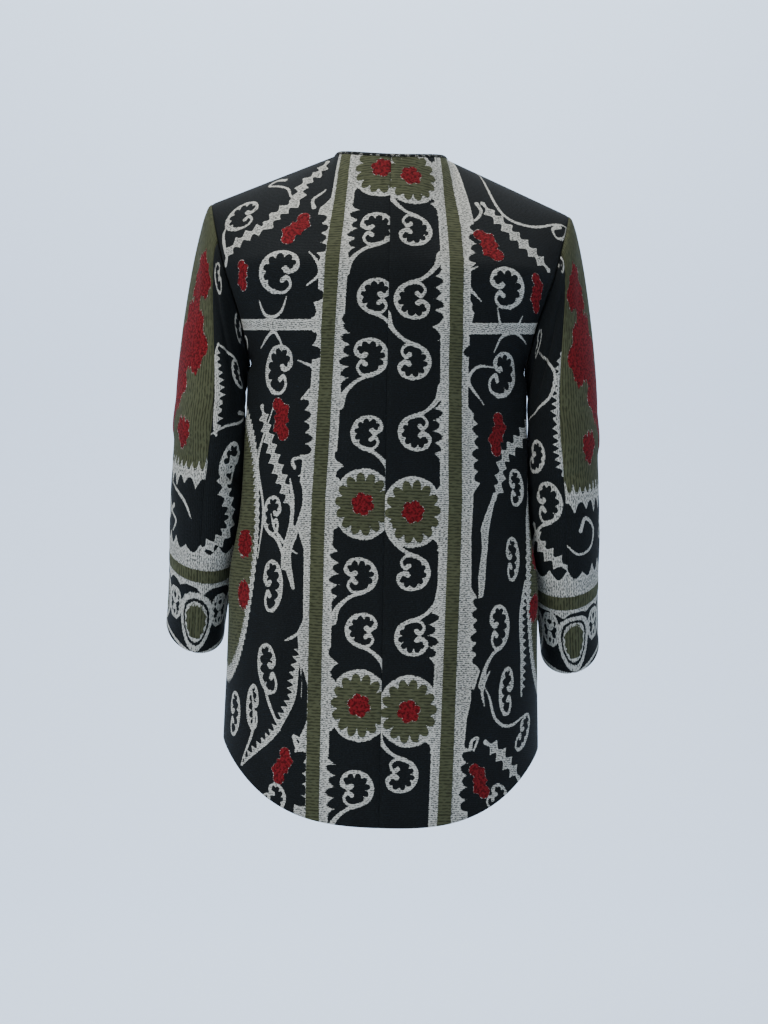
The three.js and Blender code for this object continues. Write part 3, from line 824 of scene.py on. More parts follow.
def spikes(chart, along, level, pitch, height, up):
    """Pale spikes that stand up from a level across the sleeve, or hang below it."""
    wave = 1 - np.abs(2 * np.mod(chart.across / pitch + 0.3 * np.sin(chart.across / 31.0), 1.0) - 1)
    rise = height * wave ** 1.7 * (1 + 0.3 * np.sin(chart.across / 9.0))
    if up:
        inside = np.minimum(along - level + rise, level + 4 - along)
    else:
        inside = np.minimum(level + rise - along, along - level + 4)
    chart.paint("ground", inside * 0.6)


def leaf_oval(chart, along, middle):
    """A serrated olive leaf that stands in a pale oval."""
    x, y = (chart.across - middle) / LEAF_HALF[0], (along - ZONES["leaf"]) / LEAF_HALF[1]
    reach = np.hypot(x * (1 + 0.25 * y), y)
    for colour, edge in (("ground", 1.0), ("black", 0.8), ("ground", 0.68)):
        chart.paint(colour, (edge - reach) * LEAF_EDGE)
    veins = 0.2 * np.abs(np.mod(y * 3.6 - np.abs(x) * 1.2, 1.0) - 0.5)
    chart.paint("olive", (0.64 - reach - veins) * LEAF_EDGE)


# Soft troughs and ridges of worn cloth: x or round, drop or down, long, wide, deep, turn
BACK_FOLDS = ((60, 330, 150, 26, -2.2, 8), (130, 300, 90, 20, -2.4, 28), (100, 420, 120, 24, 1.8, -12),
              (30, 560, 190, 30, -1.6, 3), (118, 600, 170, 28, 2.2, -5), (150, 660, 120, 24, -2.0, -10),
              (84, 210, 80, 26, 1.4, 40), (150, 190, 60, 16, -1.8, 52), (70, 90, 60, 22, -1.2, 64))
FRONT_FOLDS = ((96, 190, 90, 26, -2.2, 38), (120, 330, 130, 26, 2.0, 10), (60, 420, 170, 28, -2.0, -4),
               (128, 520, 160, 26, -2.4, 6), (90, 620, 110, 24, 1.8, 0), (150, 260, 70, 20, -2.0, 30))
SLEEVE_FOLDS = ((96, -60, 150, 13, -3.4, 8), (150, -20, 110, 16, -3.0, -14), (60, 70, 60, 12, -2.2, 72),
                (110, 86, 70, 12, -2.8, 66), (165, 70, 70, 13, -2.6, 100), (120, 140, 90, 12, -2.0, 40),
                (20, -140, 90, 18, -1.6, 12), (-60, -60, 130, 20, -1.8, -8), (-100, 60, 70, 14, -2.4, 70),
                (215, 20, 110, 16, -2.4, 6), (-30, 130, 80, 14, 1.6, 30))

# Beside the sleeves: height of the swell, its place from the side seam, its half width, mm
SIDE_SWELL = {"back": (7.7, 34.0, 17.0), "front": (-1.7, 22.0, 16.0)}


def folds(across, along, rows, places):
    """Height of the folds over the cloth, in mm."""
    height = np.zeros_like(across)
    for (x, y), (_, _, long, wide, deep, turn) in zip(places, rows):
        turn = math.radians(turn)
        dx, dy = across - x, along - y
        ahead = dx * math.sin(turn) + dy * math.cos(turn)
        beside = dx * math.cos(turn) - dy * math.sin(turn)
        beside = beside + 0.0016 * ahead * ahead
        height += deep * np.exp(-(ahead / (0.5 * long)) ** 2 - (beside / (0.6 * wide)) ** 2)
    return height


class Panel:
    """A woven wall: a fine outer face and a coarser inner one, joined round the edge."""

    COARSE = 3  # the inner face has every third point

    def __init__(self, name, outer, inner, flip):
        self.name = name
        self.outer = outer
        self.inner = inner[:: self.COARSE, :: self.COARSE]
        self.flip = flip

    def faces(self):
        rows, columns = self.outer.shape[:2]
        fine = grid_faces(rows, columns, 0, self.flip)
        inner_rows, inner_columns = self.inner.shape[:2]
        first = rows * columns
        coarse = grid_faces(inner_rows, inner_columns, first, not self.flip)
        loops = fine.ravel().tolist() + coarse.ravel().tolist()
        sizes = [4] * (len(fine) + len(coarse))
        for outer_edge, inner_edge in self.rims(rows, columns, inner_rows, inner_columns, first):
            for k in range(len(inner_edge) - 1):
                run = outer_edge[k * self.COARSE: (k + 1) * self.COARSE + 1]
                face = run[::-1] + [inner_edge[k], inner_edge[k + 1]]
                loops += face[::-1] if self.flip else face
                sizes.append(len(face))
        return loops, sizes, (len(fine), len(fine) + len(coarse))

    def rims(self, rows, columns, inner_rows, inner_columns, first):
        def outer(i, j):
            return i * columns + j

        def inner(i, j):
            return first + i * inner_columns + j

        across, across_in = range(columns), range(inner_columns)
        down, down_in = range(rows), range(inner_rows)
        yield [outer(0, j) for j in across], [inner(0, j) for j in across_in]
        yield [outer(i, columns - 1) for i in down], [inner(i, inner_columns - 1) for i in down_in]
        yield [outer(rows - 1, j) for j in across][::-1], [inner(inner_rows - 1, j) for j in across_in][::-1]
        yield [outer(i, 0) for i in down][::-1], [inner(i, 0) for i in down_in][::-1]


def grid_faces(rows, columns, first, flip):
    corner = first + np.arange(rows - 1)[:, None] * columns + np.arange(columns - 1)[None, :]
    quads = np.stack([corner, corner + 1, corner + columns + 1, corner + columns], axis=-1).reshape(-1, 4)
    return quads[:, ::-1] if flip else quads


def make_mesh(name, points, loops, sizes, materials, inner_faces=(0, 0)):
    mesh = bpy.data.meshes.new(name)
    mesh.vertices.add(len(points))
    mesh.vertices.foreach_set("co", np.asarray(points, dtype=np.float32).ravel())
    mesh.loops.add(len(loops))
    mesh.loops.foreach_set("vertex_index", np.asarray(loops, dtype=np.int32))
    sizes = np.asarray(sizes, dtype=np.int32)
    mesh.polygons.add(len(sizes))
    mesh.polygons.foreach_set("loop_start", np.concatenate([[0], np.cumsum(sizes)[:-1]]).astype(np.int32))
    mesh.polygons.foreach_set("loop_total", sizes)
    for material in materials:
        mesh.materials.append(material)
    index = np.zeros(len(sizes), dtype=np.int32)
    index[slice(*inner_faces)] = 1
    mesh.polygons.foreach_set("material_index", index)
    mesh.polygons.foreach_set("use_smooth", np.full(len(sizes), True))
    mesh.update(calc_edges=True)
    mesh.validate()
    piece = bpy.data.objects.new(name, mesh)
    bpy.context.scene.collection.objects.link(piece)
    return piece


def unit(vectors):
    return vectors / np.maximum(np.linalg.norm(vectors, axis=-1, keepdims=True), 1e-9)


def normals_of(points, flip):
    normal = unit(np.cross(np.gradient(points, axis=1), np.gradient(points, axis=0)))
    return -normal if flip else normal


def both_faces(posed, relief, wall, flip):
    """The outer and the inner face of a wall, raised by its relief."""
    normal = normals_of(posed, flip)
    outer = posed + normal * relief[..., None]
    return outer, outer - normal * wall[..., None]


def add_threads(mesh, uv):
    """Store the thread directions as a UV map, from one value for each point."""
    layer = mesh.uv_layers.new(name="threads")
    corner = np.zeros(len(mesh.loops), dtype=np.int32)
    mesh.loops.foreach_get("vertex_index", corner)
    layer.data.foreach_set("uv", uv[corner].astype(np.float32).ravel())


def add_cloth_data(mesh, chart, uv, shape):
    """Store the woven colours and the thread directions on the points of both faces."""
    coarse = np.arange(shape[0] * shape[1]).reshape(shape)[:: Panel.COARSE, :: Panel.COARSE].ravel()
    for name, field in chart.fields.items():
        values = np.concatenate([field, field[coarse]]).astype(np.float32)
        mesh.attributes.new(name, "FLOAT", "POINT").data.foreach_set("value", values)
    add_threads(mesh, np.vstack([uv, uv[coarse]]))


def finish_piece(piece, node):
    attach(piece, "root")
    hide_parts(node)


HEM_TURN_UP = 1.3  # how much thicker the cloth is where the hem is turned up, mm
CUFF_TURN_UP = 1.0


def seam_dip(distance):
    """Cloth draws in beside a seam."""
    return -0.9 * np.exp(-(distance / 2.6) ** 2)


def side_swell(side, from_side, drop):
    """The back swells behind each sleeve, and the front draws in before it."""
    deep, middle, wide = SIDE_SWELL[side.name]
    beside_sleeve = smooth_share(drop, 238, 264) * (1 - smooth_share(drop, 470, 570))
    return deep * beside_sleeve * np.exp(-((from_side - middle) / wide) ** 2)


# Columns in the neckline and in the shoulder, rows below and above the underarm
BODY_GRIDS = {"back": (48, 120, 300, 180), "front": (42, 102, 246, 153)}


def body_grid(side):
    """A panel's columns, the height of each of its points, and the row at the underarm."""
    neck, shoulder, below, above = BODY_GRIDS[side.name]
    start = SEAM_SHARE if side is BACK else 0.0
    u = np.concatenate([np.linspace(start, NECK_SHARE, neck + 1),
                        np.linspace(NECK_SHARE, 1 - SEAM_SHARE, shoulder + 1)[1:]])
    hems = hem_height(side, u)
    low = hems + (UNDERARM - hems) * np.linspace(0, 1, below + 1)[:, None]
    rise = -UNDERARM * (1 - np.cos(np.linspace(0, math.pi, above + 1))) / 2
    rise = 0.5 * rise + 0.5 * np.linspace(0, -UNDERARM, above + 1)
    high = np.broadcast_to((UNDERARM + rise)[1:, None], (above, len(u))).copy()
    high[-1] = -SEAM_REST
    return u, np.vstack([low, high]), below


def body_places(side, u, height, column_arcs, below):
    """Cloth coordinates of a panel: across from level rows, along from the columns."""
    levels = np.concatenate([np.linspace(SIDE_HEM - side.hem_drop, UNDERARM, 40),
                             np.linspace(UNDERARM, -0.5, 40)[1:]])
    level_rows = panel_points(side, u, np.broadcast_to(levels[:, None], (len(levels), len(u))).copy())
    level_arcs = arc_lengths(level_rows, 1)
    across = np.stack([np.interp(height[:, j], levels, level_arcs[:, j]) for j in range(len(u))], axis=1)
    return across, -UNDERARM - (column_arcs - column_arcs[below][None, :])


def body_folds(side, is_right, across, along):
    """The folds of a panel, which lie a little apart on the two sides of the body."""
    rows = BACK_FOLDS if side is BACK else FRONT_FOLDS
    wander = 9.0 if is_right else -4.0
    places = [(row[0] + wander * math.sin(i), row[1] + wander) for i, row in enumerate(rows)]
    return folds(across, along, rows, places)


def build_body_panel(side, is_right, materials, sizes):
    u, height, below = body_grid(side)
    points = panel_points(side, u, height)
    column_arcs = arc_lengths(points, 0)
    across, along = body_places(side, u, height, column_arcs, below)
    posed = worn(points, is_right)
    woven_across = across.copy()
    if side is BACK:
        table = np.array(TAKEN_IN[is_right], dtype=float)
        woven_across += np.interp(-points[..., 2], table[:, 0], table[:, 1])
    towards_right = (1 if is_right else -1) * side.face
    chart = Chart(woven_across, along, seen_steps(posed, is_right, side.face), towards_right)
    pattern = back_pattern if side is BACK else front_pattern
    pattern(chart, is_right)

    relief = body_folds(side, is_right, woven_across, along)
    relief *= smooth_share(-height, 20, 90) * smooth_share(1 - u, 0.0, 0.16)
    floats = lifted(chart, points.shape[:2], sizes)
    from_side = across[:, -1:] - across
    if side is BACK:
        relief *= smooth_share(across, 0.0, 24.0)
        floats *= smooth_share(across, 0.0, 3.0)
    relief += floats + side_swell(side, from_side, -height) + seam_dip(from_side)
    if side is BACK:
        relief += seam_dip(across)
    relief += seam_dip(column_arcs[-1:] - column_arcs) * (u >= NECK_SHARE)
    wall = sizes.cloth_mm + HEM_TURN_UP * (1 - smooth_share(column_arcs, 24, 27))
    flip = (side.face > 0) != is_right
    outer, inner = both_faces(posed, relief, wall, flip)
    if side is BACK:
        outer[:, 0, 0] = inner[:, 0, 0] = posed[:, 0, 0] + (SEAM_LAP if is_right else -SEAM_LAP)
    panel = Panel(side.name + ("_right" if is_right else "_left"), outer, inner, flip)
    dress(panel, chart, np.stack([woven_across, along], axis=-1), materials)


def lifted(chart, shape, sizes):
    """Long floats of olive and red yarn stand a little off the ground weave."""
    top = np.maximum(chart.fields["olive"], chart.fields["red"]).reshape(shape)
    return sizes.float_mm * smooth_share(top, -0.4, 0.9)


def dress(panel, chart, threads, materials):
    """Make the piece of a panel, with its woven colours, attach it to the root and hide the solid that it
    replaces.
    """
    points = np.vstack([panel.outer.reshape(-1, 3), panel.inner.reshape(-1, 3)]) * MM
    loops, sizes, inner_faces = panel.faces()
    piece = make_mesh(panel.name + "_cloth", points, loops, sizes, materials, inner_faces)
    add_cloth_data(piece.data, chart, threads.reshape(-1, 2) * MM, panel.outer.shape[:2])
    finish_piece(piece, panel.name)


# Top and under piece of a sleeve: first and last seam in degrees, columns, rows above and below
# the first ring
SLEEVE_GRIDS = {
    "top": (SLEEVE_SEAM_FRONT - 360, SLEEVE_SEAM_BACK, 111, 135, 183),
    "under": (SLEEVE_SEAM_BACK, SLEEVE_SEAM_FRONT, 93, 111, 177),
}
AROUND = np.linspace(-130, 250, 191)  # degrees round the arm, past both seams


def sleeve_places(angles, station, cap, column_arcs):
    """Cloth coordinates of a sleeve piece: round the arm, and down it from the first ring."""
    around = sleeve_points(np.radians(AROUND), station)
    degrees = np.degrees(angles)
    across = np.stack([np.interp(degrees, AROUND, arcs) - np.interp(0.0, AROUND, arcs)
                       for arcs in arc_lengths(around, 1)])
    along = column_arcs - column_arcs[cap][None, :]
    mean_along = arc_lengths(around, 0)
    along[cap:] = (mean_along - mean_along[cap][None, :]).mean(axis=1)[cap:, None]
    return across, along


def build_sleeve_panel(is_top, is_right, materials, sizes):
    kind = "top" if is_top else "under"
    start, end, columns, cap, rest = SLEEVE_GRIDS[kind]
    angles = np.radians(np.linspace(start + SLEEVE_SEAM_GAP, end - SLEEVE_SEAM_GAP, columns + 1))
    rings = len(SLEEVE_RINGS)
    station = np.concatenate([np.linspace(0, 1, cap + 1), np.linspace(1, rings, rest + 1)[1:]])
    points = sleeve_points(angles, station)
    column_arcs = arc_lengths(points, 0)
    across, along = sleeve_places(angles, station, cap, column_arcs)
    posed = worn(points, is_right, sleeve_tilt(points[..., 2]))
    seen = seen_steps(posed, is_right)
    lean = np.broadcast_to(np.sin(angles), across.shape)
    seen[lean < 0.05] = HIDDEN
    chart = Chart(across, along, seen, -1 if is_right else 1)
    sleeve_pattern(chart, is_top, is_right, lean)

    aside = 6 if is_right else 0
    relief = folds(across, along, SLEEVE_FOLDS, [(row[0] + aside, row[1]) for row in SLEEVE_FOLDS])
    relief *= smooth_share(column_arcs, 4, 40)
    relief += lifted(chart, points.shape[:2], sizes) + seam_dip(column_arcs)
    relief += seam_dip(across - across[:, :1]) + seam_dip(across[:, -1:] - across)
    wall = sizes.cloth_mm + CUFF_TURN_UP * (1 - smooth_share(column_arcs[-1:] - column_arcs, 22, 25))
    outer, inner = both_faces(posed, relief, wall, not is_right)
    panel = Panel("sleeve_" + kind + ("_right" if is_right else "_left"), outer, inner, not is_right)
    dress(panel, chart, np.stack([along, across], axis=-1), materials)


# The folded tape: its section outward and upward from the neck edge, in mm
TAPE_SECTION = ((0.62, 0.3), (0.68, 2.0), (0.55, 3.6), (0.0, 4.7), (-1.0, 5.0),
                (-2.0, 4.7), (-2.5, 3.6), (-2.62, 2.0), (-2.5, 0.8), (-1.0, 0.4))
TAPE_STEPS = 60


def neck_path():
    """The neck edge from one front to the other, and how the cloth rises to it."""
    u = np.linspace(0, NECK_SHARE, TAPE_STEPS + 1)
    halves = []
    for is_right in (True, False):
        edges, rises = [], []
        for side, run in ((BACK, slice(None)), (FRONT, slice(-2, None, -1))):
            edge = worn(panel_points(side, u, np.zeros((1, u.size)))[0], is_right)
            inside = worn(panel_points(side, u, np.full((1, u.size), -1.5))[0], is_right)
            edges.append(edge[run])
            rises.append((edge - inside)[run])
        halves.append((np.vstack(edges), np.vstack(rises)))
    return [np.vstack([right[::-1], left[1:]]) for right, left in zip(*halves)]


def build_binding(material):
    """A folded tape round the neckline, from one front edge to the other."""
    path, rise = neck_path()
    along = unit(np.gradient(path, axis=0))
    out = unit(np.cross(rise, along))
    outwards = np.sign(np.sum(out * (path - path.mean(axis=0)), axis=-1, keepdims=True))
    out = out * np.where(outwards == 0, 1, outwards)
    up = np.cross(along, out)
    up *= np.where(up[:, 2:] < 0, -1, 1)
    points = np.stack([path + out * a + up * b for a, b in TAPE_SECTION], axis=1)
    count, corners = points.shape[:2]
    i, k = np.meshgrid(np.arange(count - 1), np.arange(corners), indexing="ij")
    a, b = i * corners + k, i * corners + (k + 1) % corners
    quads = np.stack([a, b, b + corners, a + corners], axis=-1).reshape(-1, 4)
    ends = list(range(corners))[::-1] + [(count - 1) * corners + k for k in range(corners)]
    sizes = [4] * len(quads) + [corners, corners]
    piece = make_mesh("neck_binding_tape", points.reshape(-1, 3) * MM, quads.ravel().tolist() + ends, sizes,
                      [material])
    length = arc_lengths(path, 0)
    round_tape = np.tile(np.arange(corners) * 1.2, count)
    add_threads(piece.data, np.stack([np.repeat(length, corners), round_tape], axis=-1) * MM)
    finish_piece(piece, "neck_binding")


class Nodes:
    """Short ways to add and join shader nodes."""

    def __init__(self, name):
        self.material = bpy.data.materials.new(name)
        self.material.use_nodes = True
        self.tree = self.material.node_tree
        self.tree.nodes.clear()

    def add(self, kind, **values):
        node = self.tree.nodes.new(kind)
        for key, value in values.items():
            setattr(node, key, value)
        return node

    def link(self, source, target):
        self.tree.links.new(source, target)

    def put(self, socket, value):
        """Give a socket a number, a colour or a link."""
        if isinstance(value, (int, float)):
            socket.default_value = value
        elif isinstance(value, tuple):
            socket.default_value = (*value[:3], 1.0)
        else:
            self.link(value, socket)

    def math(self, operation, *values):
        node = self.add("ShaderNodeMath", operation=operation)
        for socket, value in zip(node.inputs, values):
            self.put(socket, value)
        return node.outputs[0]

    def times(self, first, second):
        return self.math("MULTIPLY", first, second)

    def plus(self, first, second):
        return self.math("ADD", first, second)

    def ramp(self, value, low, high):
        node = self.add("ShaderNodeMapRange", interpolation_type="SMOOTHSTEP", clamp=True)
        self.link(value, node.inputs["Value"])
        node.inputs["From Min"].default_value = low
        node.inputs["From Max"].default_value = high
        return node.outputs[0]

    def mix(self, share, first, second):
        node = self.add("ShaderNodeMix", data_type="RGBA", clamp_factor=True)
        self.put(node.inputs["Factor"], share)
        self.put(node.inputs[6], first)
        self.put(node.inputs[7], second)
        return node.outputs[2]

    def threads(self):
        """Thread coordinates in mm: across the floats' rows, and along them."""
        uv = self.add("ShaderNodeUVMap", uv_map="threads").outputs[0]
        split = self.add("ShaderNodeSeparateXYZ")
        self.link(uv, split.inputs[0])
        return self.times(split.outputs[0], 1000.0), self.times(split.outputs[1], 1000.0)

    def noise(self, x, y, wide, tall, detail=2.0):
        place = self.add("ShaderNodeCombineXYZ")
        self.link(self.times(x, 1.0 / wide), place.inputs[0])
        self.link(self.times(y, 1.0 / tall), place.inputs[1])
        node = self.add("ShaderNodeTexNoise", noise_dimensions="2D")
        self.link(place.outputs[0], node.inputs["Vector"])
        node.inputs["Scale"].default_value = 1.0
        node.inputs["Detail"].default_value = detail
        return node.outputs["Fac"]

    def stepped(self, x, y, wide, tall):
        """One random number for each cell of the weave."""
        place = self.add("ShaderNodeCombineXYZ")
        row = self.math("FLOOR", self.times(y, 1.0 / tall))
        shifted = self.plus(self.times(x, 1.0 / wide), self.times(row, 0.5))
        self.link(self.math("FLOOR", shifted), place.inputs[0])
        self.link(row, place.inputs[1])
        node = self.add("ShaderNodeTexWhiteNoise", noise_dimensions="2D")
        self.link(place.outputs[0], node.inputs["Vector"])
        return node.outputs["Value"]

    def finish(self, colour, roughness, height, bump):
        shader = self.add("ShaderNodeBsdfPrincipled")
        self.put(shader.inputs["Base Color"], colour)
        self.put(shader.inputs["Roughness"], roughness)
        shader.inputs["Specular IOR Level"].default_value = 0.1
        shader.inputs["Sheen Weight"].default_value = 0.02
        shader.inputs["Sheen Roughness"].default_value = 0.5
        node = self.add("ShaderNodeBump")
        node.inputs["Strength"].default_value = 1.0
        node.inputs["Distance"].default_value = bump
        self.link(height, node.inputs["Height"])
        self.link(node.outputs[0], shader.inputs["Normal"])
        output = self.add("ShaderNodeOutputMaterial")
        self.link(shader.outputs[0], output.inputs[0])
        return self.material


def shade(colour, share=1.0, lift=0.0):
    return tuple(c * share + lift for c in colour)


def jacquard(name, colours, reverse=False):
    """Four yarns in one cloth: a pale ground that dark picks cross, and black, olive and red floats."""
    n = Nodes(name)
    x, y = n.threads()
    cell = n.stepped(x, y, 1.7, 1.1)
    jitter = n.times(n.math("SUBTRACT", cell, 0.5), 0.8)
    fields, masks = {}, {}
    for field in ("black", "olive", "red"):
        fields[field] = n.add("ShaderNodeAttribute", attribute_name=field).outputs["Fac"]
        masks[field] = n.ramp(n.plus(fields[field], jitter), -0.2, 0.2)
    ribs = n.math("COSINE", n.times(y, 2 * math.pi / 2.2))
    dash = n.noise(x, y, 2.6, 1.1, 0.0)
    fleck = n.noise(x, y, 2.2, 0.9, 1.0)
    clump = n.noise(x, y, 3.2, 3.2, 1.0)
    broad = n.noise(x, y, 60.0, 90.0, 3.0)

    pick = n.plus(n.times(ribs, 0.16), n.plus(dash, n.times(cell, 0.22)))
    outline = n.times(n.ramp(fields["black"], -3.2, -0.8), 0.16)
    ground = n.mix(n.ramp(n.plus(pick, outline), 0.42, 0.72), shade(colours.ground_dark),
                   shade(colours.ground_pale))
    thread = n.ramp(n.plus(fleck, n.times(ribs, 0.08)), 0.3, 0.75)
    black = n.mix(thread, shade(colours.black), shade(colours.black, 2.2, 0.001))
    rib = n.math("COSINE", n.times(y, 2 * math.pi / 3.5))
    rib = n.plus(n.times(rib, 0.24), n.times(n.noise(x, y, 7.0, 2.4, 1.0), 1.1))
    olive = n.mix(n.ramp(rib, 0.3, 0.62), shade(colours.olive, 0.52), shade(colours.olive, 1.12))
    tuft = n.ramp(n.plus(n.times(clump, 0.7), n.times(fleck, 0.4)), 0.4, 0.66)
    red = n.mix(tuft, shade(colours.red, 0.42), shade(colours.red, 1.25))
    if reverse:
        ground = n.mix(0.72, ground, shade(colours.black))
        black = n.mix(0.3, black, shade(colours.ground_pale))
        olive = n.mix(0.5, olive, shade(colours.ground_dark))
        red = n.mix(0.55, red, shade(colours.ground_dark))
    colour = n.mix(masks["black"], ground, black)
    colour = n.mix(masks["olive"], colour, olive)
    colour = n.mix(masks["red"], colour, red)
    worn_colour = n.add("ShaderNodeHueSaturation")
    n.link(n.plus(n.times(n.ramp(broad, 0.3, 0.7), 0.16), 0.92), worn_colour.inputs["Value"])
    n.link(colour, worn_colour.inputs["Color"])

    raised = n.plus(n.times(masks["olive"], 0.4), n.times(masks["red"], clump))
    pale = n.times(n.math("SUBTRACT", 1.0, masks["black"]), 0.3)
    height = n.plus(n.plus(n.times(ribs, 0.16), raised), n.plus(pale, n.times(fleck, 0.45)))
    roughness = n.math("SUBTRACT", 0.94, n.times(masks["black"], 0.08))
    return n.finish(worn_colour.outputs[0], roughness, height, 0.0005)


def tape_material(colours):
    n = Nodes("neck tape")
    x, y = n.threads()
    cell = n.stepped(x, y, 2.3, 1.3)
    twill = n.math("SINE", n.times(n.plus(x, y), 2 * math.pi / 1.9))
    flecks = n.times(n.ramp(cell, 0.74, 0.8), n.ramp(twill, -0.2, 0.5))
    colour = n.mix(flecks, shade(colours.black, 1.6), shade(colours.ground_pale, 0.75))
    height = n.plus(n.times(twill, 0.5), n.times(cell, 0.4))
    return n.finish(colour, 0.85, height, 0.0004)


def plain_material(name, colour):
    n = Nodes(name)
    shader = n.add("ShaderNodeBsdfPrincipled")
    shader.inputs["Base Color"].default_value = (*colour, 1.0)
    shader.inputs["Roughness"].default_value = 1.0
    shader.inputs["Specular IOR Level"].default_value = 0.0
    output = n.add("ShaderNodeOutputMaterial")
    n.link(shader.outputs[0], output.inputs[0])
    return n.material


class JacketSizes(bpy.types.PropertyGroup):
    """Sizes of the cloth that a user may change."""

    cloth_mm: bpy.props.FloatProperty(
        name="Cloth thickness", description="Wall of the woven cloth in millimetres",
        default=1.7, min=0.8, max=3.0)
    float_mm: bpy.props.FloatProperty(
        name="Float height", description="How far olive and red floats stand up, in millimetres",
        default=0.3, min=0.0, max=1.0)


class JacketColours(bpy.types.PropertyGroup):
    """Colours of the yarns."""

    ground_pale: bpy.props.FloatVectorProperty(
        name="Pale yarn", description="Pale yarn of the ground", default=(0.44, 0.43, 0.38), size=3,
        min=0.0, max=1.0, subtype="COLOR")
    ground_dark: bpy.props.FloatVectorProperty(
        name="Dark ground yarn", description="Dark yarn between the pale ones",
        default=(0.075, 0.077, 0.07), size=3, min=0.0, max=1.0, subtype="COLOR")
    black: bpy.props.FloatVectorProperty(
        name="Black yarn", description="Black floats", default=(0.0034, 0.0042, 0.0044), size=3,
        min=0.0, max=1.0, subtype="COLOR")
    olive: bpy.props.FloatVectorProperty(
        name="Olive yarn", description="Olive floats", default=(0.054, 0.057, 0.03), size=3,
        min=0.0, max=1.0, subtype="COLOR")
    red: bpy.props.FloatVectorProperty(
        name="Red yarn", description="Red floats", default=(0.12, 0.0066, 0.0088), size=3,
        min=0.0, max=1.0, subtype="COLOR")


class StudioSettings(bpy.types.PropertyGroup):
    """The camera and the backdrop."""

    distance: bpy.props.FloatProperty(
        name="Camera distance", description="From the shoulder line to the camera",
        default=2.6, unit="LENGTH")
    height: bpy.props.FloatProperty(
        name="Camera height", description="Against the neck points", default=-0.414, unit="LENGTH")
    frame_height: bpy.props.FloatProperty(
        name="Framed height", description="Height that the picture covers at the shoulder line",
        default=1.198, unit="LENGTH")
    backdrop: bpy.props.FloatVectorProperty(
        name="Backdrop", description="Colour of floor and wall", default=(0.705, 0.81, 0.955), size=3,
        min=0.0, max=1.0, subtype="COLOR")


def cloth_materials(scene, name):
    colours = scene.jacket_colours
    return [jacquard(name, colours), jacquard(name + " reverse", colours, reverse=True)]


class JACKET_OT_back_panels(bpy.types.Operator):
    """Weave and shape the two back panels"""

    bl_idname = "jacket.back_panels"
    bl_label = "Back panels"

    def execute(self, context):
        materials = cloth_materials(context.scene, "back jacquard")
        for is_right in (False, True):
            build_body_panel(BACK, is_right, materials, context.scene.jacket_sizes)
        return {"FINISHED"}


class JACKET_OT_front_panels(bpy.types.Operator):
    """Weave and shape the two fronts"""

    bl_idname = "jacket.front_panels"
    bl_label = "Front panels"

    def execute(self, context):
        materials = cloth_materials(context.scene, "front jacquard")
        for is_right in (False, True):
            build_body_panel(FRONT, is_right, materials, context.scene.jacket_sizes)
        return {"FINISHED"}


class JACKET_OT_sleeves(bpy.types.Operator):
    """Weave and shape the top and under pieces of both sleeves"""

    bl_idname = "jacket.sleeves"
    bl_label = "Sleeves"

    def execute(self, context):
        materials = cloth_materials(context.scene, "sleeve jacquard")
        for is_right in (False, True):
            for is_top in (True, False):
                build_sleeve_panel(is_top, is_right, materials, context.scene.jacket_sizes)
        return {"FINISHED"}


class JACKET_OT_neck_binding(bpy.types.Operator):
    """Fold the narrow tape round the neckline"""

    bl_idname = "jacket.neck_binding"
    bl_label = "Neck binding"

    def execute(self, context):
        build_binding(tape_material(context.scene.jacket_colours))
        return {"FINISHED"}


class JACKET_OT_studio(bpy.types.Operator):
    """Set up the floor, the backdrop, the soft lights and the camera"""

    bl_idname = "jacket.studio"
    bl_label = "Studio"

    def execute(self, context):
        studio = context.scene.jacket_studio
        build_backdrop(studio)
        build_lights()
        build_camera(context.scene, studio)
        return {"FINISHED"}


def build_backdrop(studio):
    """A floor that sweeps up into a wall on both sides of the jacket."""
    floor, half_width, reach, bend = -1.25, 9.0, 3.4, 1.2
    profile = [(reach - bend + bend * math.sin(a), floor + bend * (1 - math.cos(a)))
               for a in np.linspace(0, math.pi / 2, 14)]
    profile = profile + [(reach, 6.0)]
    line = [(-y, z) for y, z in profile[::-1]] + [(7.5, floor)]
    points = [(x, y, z) for y, z in line for x in (-half_width, half_width)]
    quads = [(2 * i, 2 * i + 1, 2 * i + 3, 2 * i + 2) for i in range(len(line) - 1)]
    loops = [k for quad in quads for k in quad]
    sweep = make_mesh("studio_sweep", points, loops, [4] * len(quads),
                      [plain_material("pale studio paper", studio.backdrop)])


# name, place, size, power, colour
LIGHTS = (
    ("key", (1.6, 2.0, 0.7), 1.5, 48.0, (1.0, 0.985, 0.955)),
    ("fill", (-2.4, 2.4, 0.4), 2.6, 8.0, (0.97, 0.985, 1.0)),
    ("top", (0.1, -0.3, 2.2), 2.4, 10.0, (1.0, 1.0, 1.0)),
    ("wall", (0.0, -1.0, 2.6), 3.0, 215.0, (0.96, 0.98, 1.0)),
)


def aim(thing, place, target):
    way = [t - p for t, p in zip(target, place)]
    yaw = math.atan2(way[1], way[0]) - math.pi / 2
    pitch = math.atan2(way[2], math.hypot(way[0], way[1])) + math.pi / 2
    thing.location = place
    thing.rotation_euler = (pitch, 0.0, yaw)


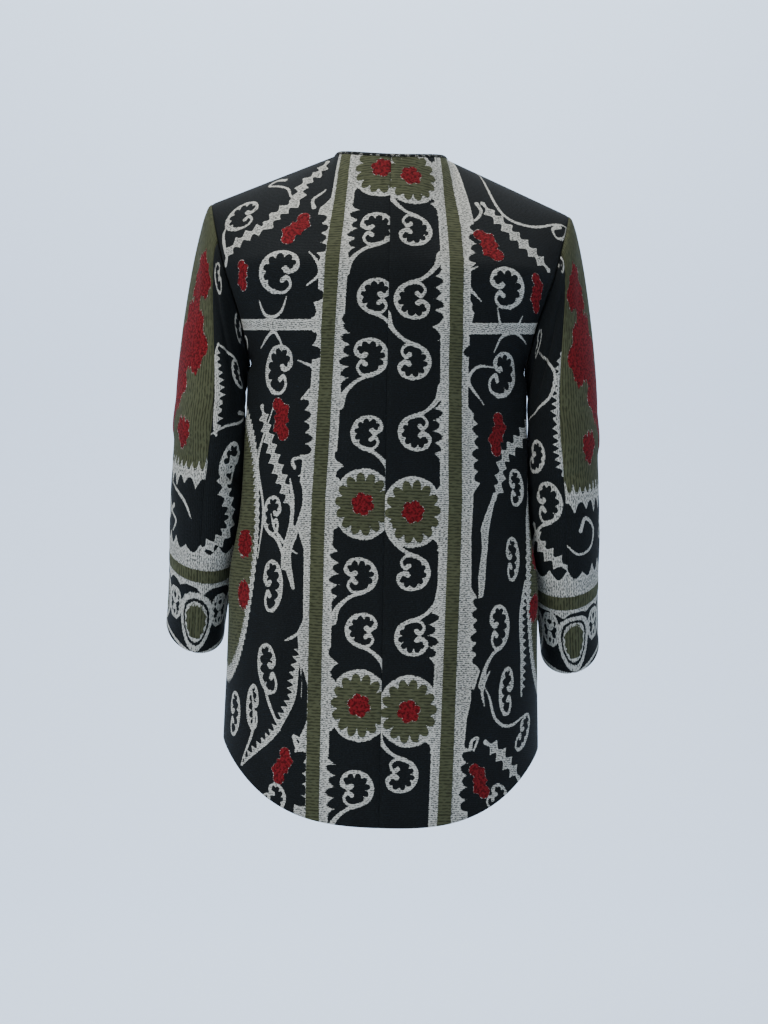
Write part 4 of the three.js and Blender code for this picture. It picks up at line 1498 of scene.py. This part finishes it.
def build_lights():
    for name, place, size, power, colour in LIGHTS:
        lamp = bpy.data.lights.new("studio " + name, "AREA")
        lamp.shape = "SQUARE"
        lamp.size = size
        lamp.energy = power
        lamp.color = colour
        piece = bpy.data.objects.new("studio_" + name, lamp)
        bpy.context.scene.collection.objects.link(piece)
        target = (0.0, 0.0, -0.4) if name != "wall" else (0.0, -3.4, -0.6)
        aim(piece, place, target)
    world = bpy.data.worlds.new("studio air")
    world.use_nodes = True
    world.node_tree.nodes["Background"].inputs[0].default_value = (0.8, 0.88, 1.0, 1.0)
    world.node_tree.nodes["Background"].inputs[1].default_value = 0.62
    bpy.context.scene.world = world


def build_camera(scene, studio):
    lens = bpy.data.cameras.new("photograph view")
    lens.sensor_width = 36.0
    lens.lens = lens.sensor_width * studio.distance / studio.frame_height
    camera = bpy.data.objects.new("photograph_view", lens)
    scene.collection.objects.link(camera)
    aside = STEP * MM  # the jacket's middle is one step beside the picture's
    aim(camera, (aside, studio.distance, studio.height), (aside, 0.0, studio.height))
    scene.camera = camera


class JACKET_PT_sidebar(bpy.types.Panel):
    """Lists the jacket's pieces in the sidebar"""

    bl_label = "Jacket"
    bl_idname = "JACKET_PT_sidebar"
    bl_space_type = "VIEW_3D"
    bl_region_type = "UI"
    bl_category = "Jacket"

    def draw(self, context):
        for group in (context.scene.jacket_sizes, context.scene.jacket_colours, context.scene.jacket_studio):
            for key in group.__annotations__:
                self.layout.prop(group, key)
        for operator in OPERATORS:
            self.layout.operator(operator.bl_idname)


OPERATORS = (
    JACKET_OT_back_panels,
    JACKET_OT_front_panels,
    JACKET_OT_sleeves,
    JACKET_OT_neck_binding,
    JACKET_OT_studio,
)
GROUPS = (
    ("jacket_sizes", JacketSizes),
    ("jacket_colours", JacketColours),
    ("jacket_studio", StudioSettings),
)


def register():
    for name, group in GROUPS:
        bpy.utils.register_class(group)
        setattr(bpy.types.Scene, name, bpy.props.PointerProperty(type=group))
    for operator in OPERATORS:
        bpy.utils.register_class(operator)
    bpy.utils.register_class(JACKET_PT_sidebar)


def unregister():
    bpy.utils.unregister_class(JACKET_PT_sidebar)
    for operator in reversed(OPERATORS):
        bpy.utils.unregister_class(operator)
    for name, group in reversed(GROUPS):
        delattr(bpy.types.Scene, name)
        bpy.utils.unregister_class(group)


def main():
    register()
    bpy.ops.jacket.back_panels()
    bpy.ops.jacket.front_panels()
    bpy.ops.jacket.sleeves()
    bpy.ops.jacket.neck_binding()
    bpy.ops.jacket.studio()


if __name__ == "__main__":
    main()
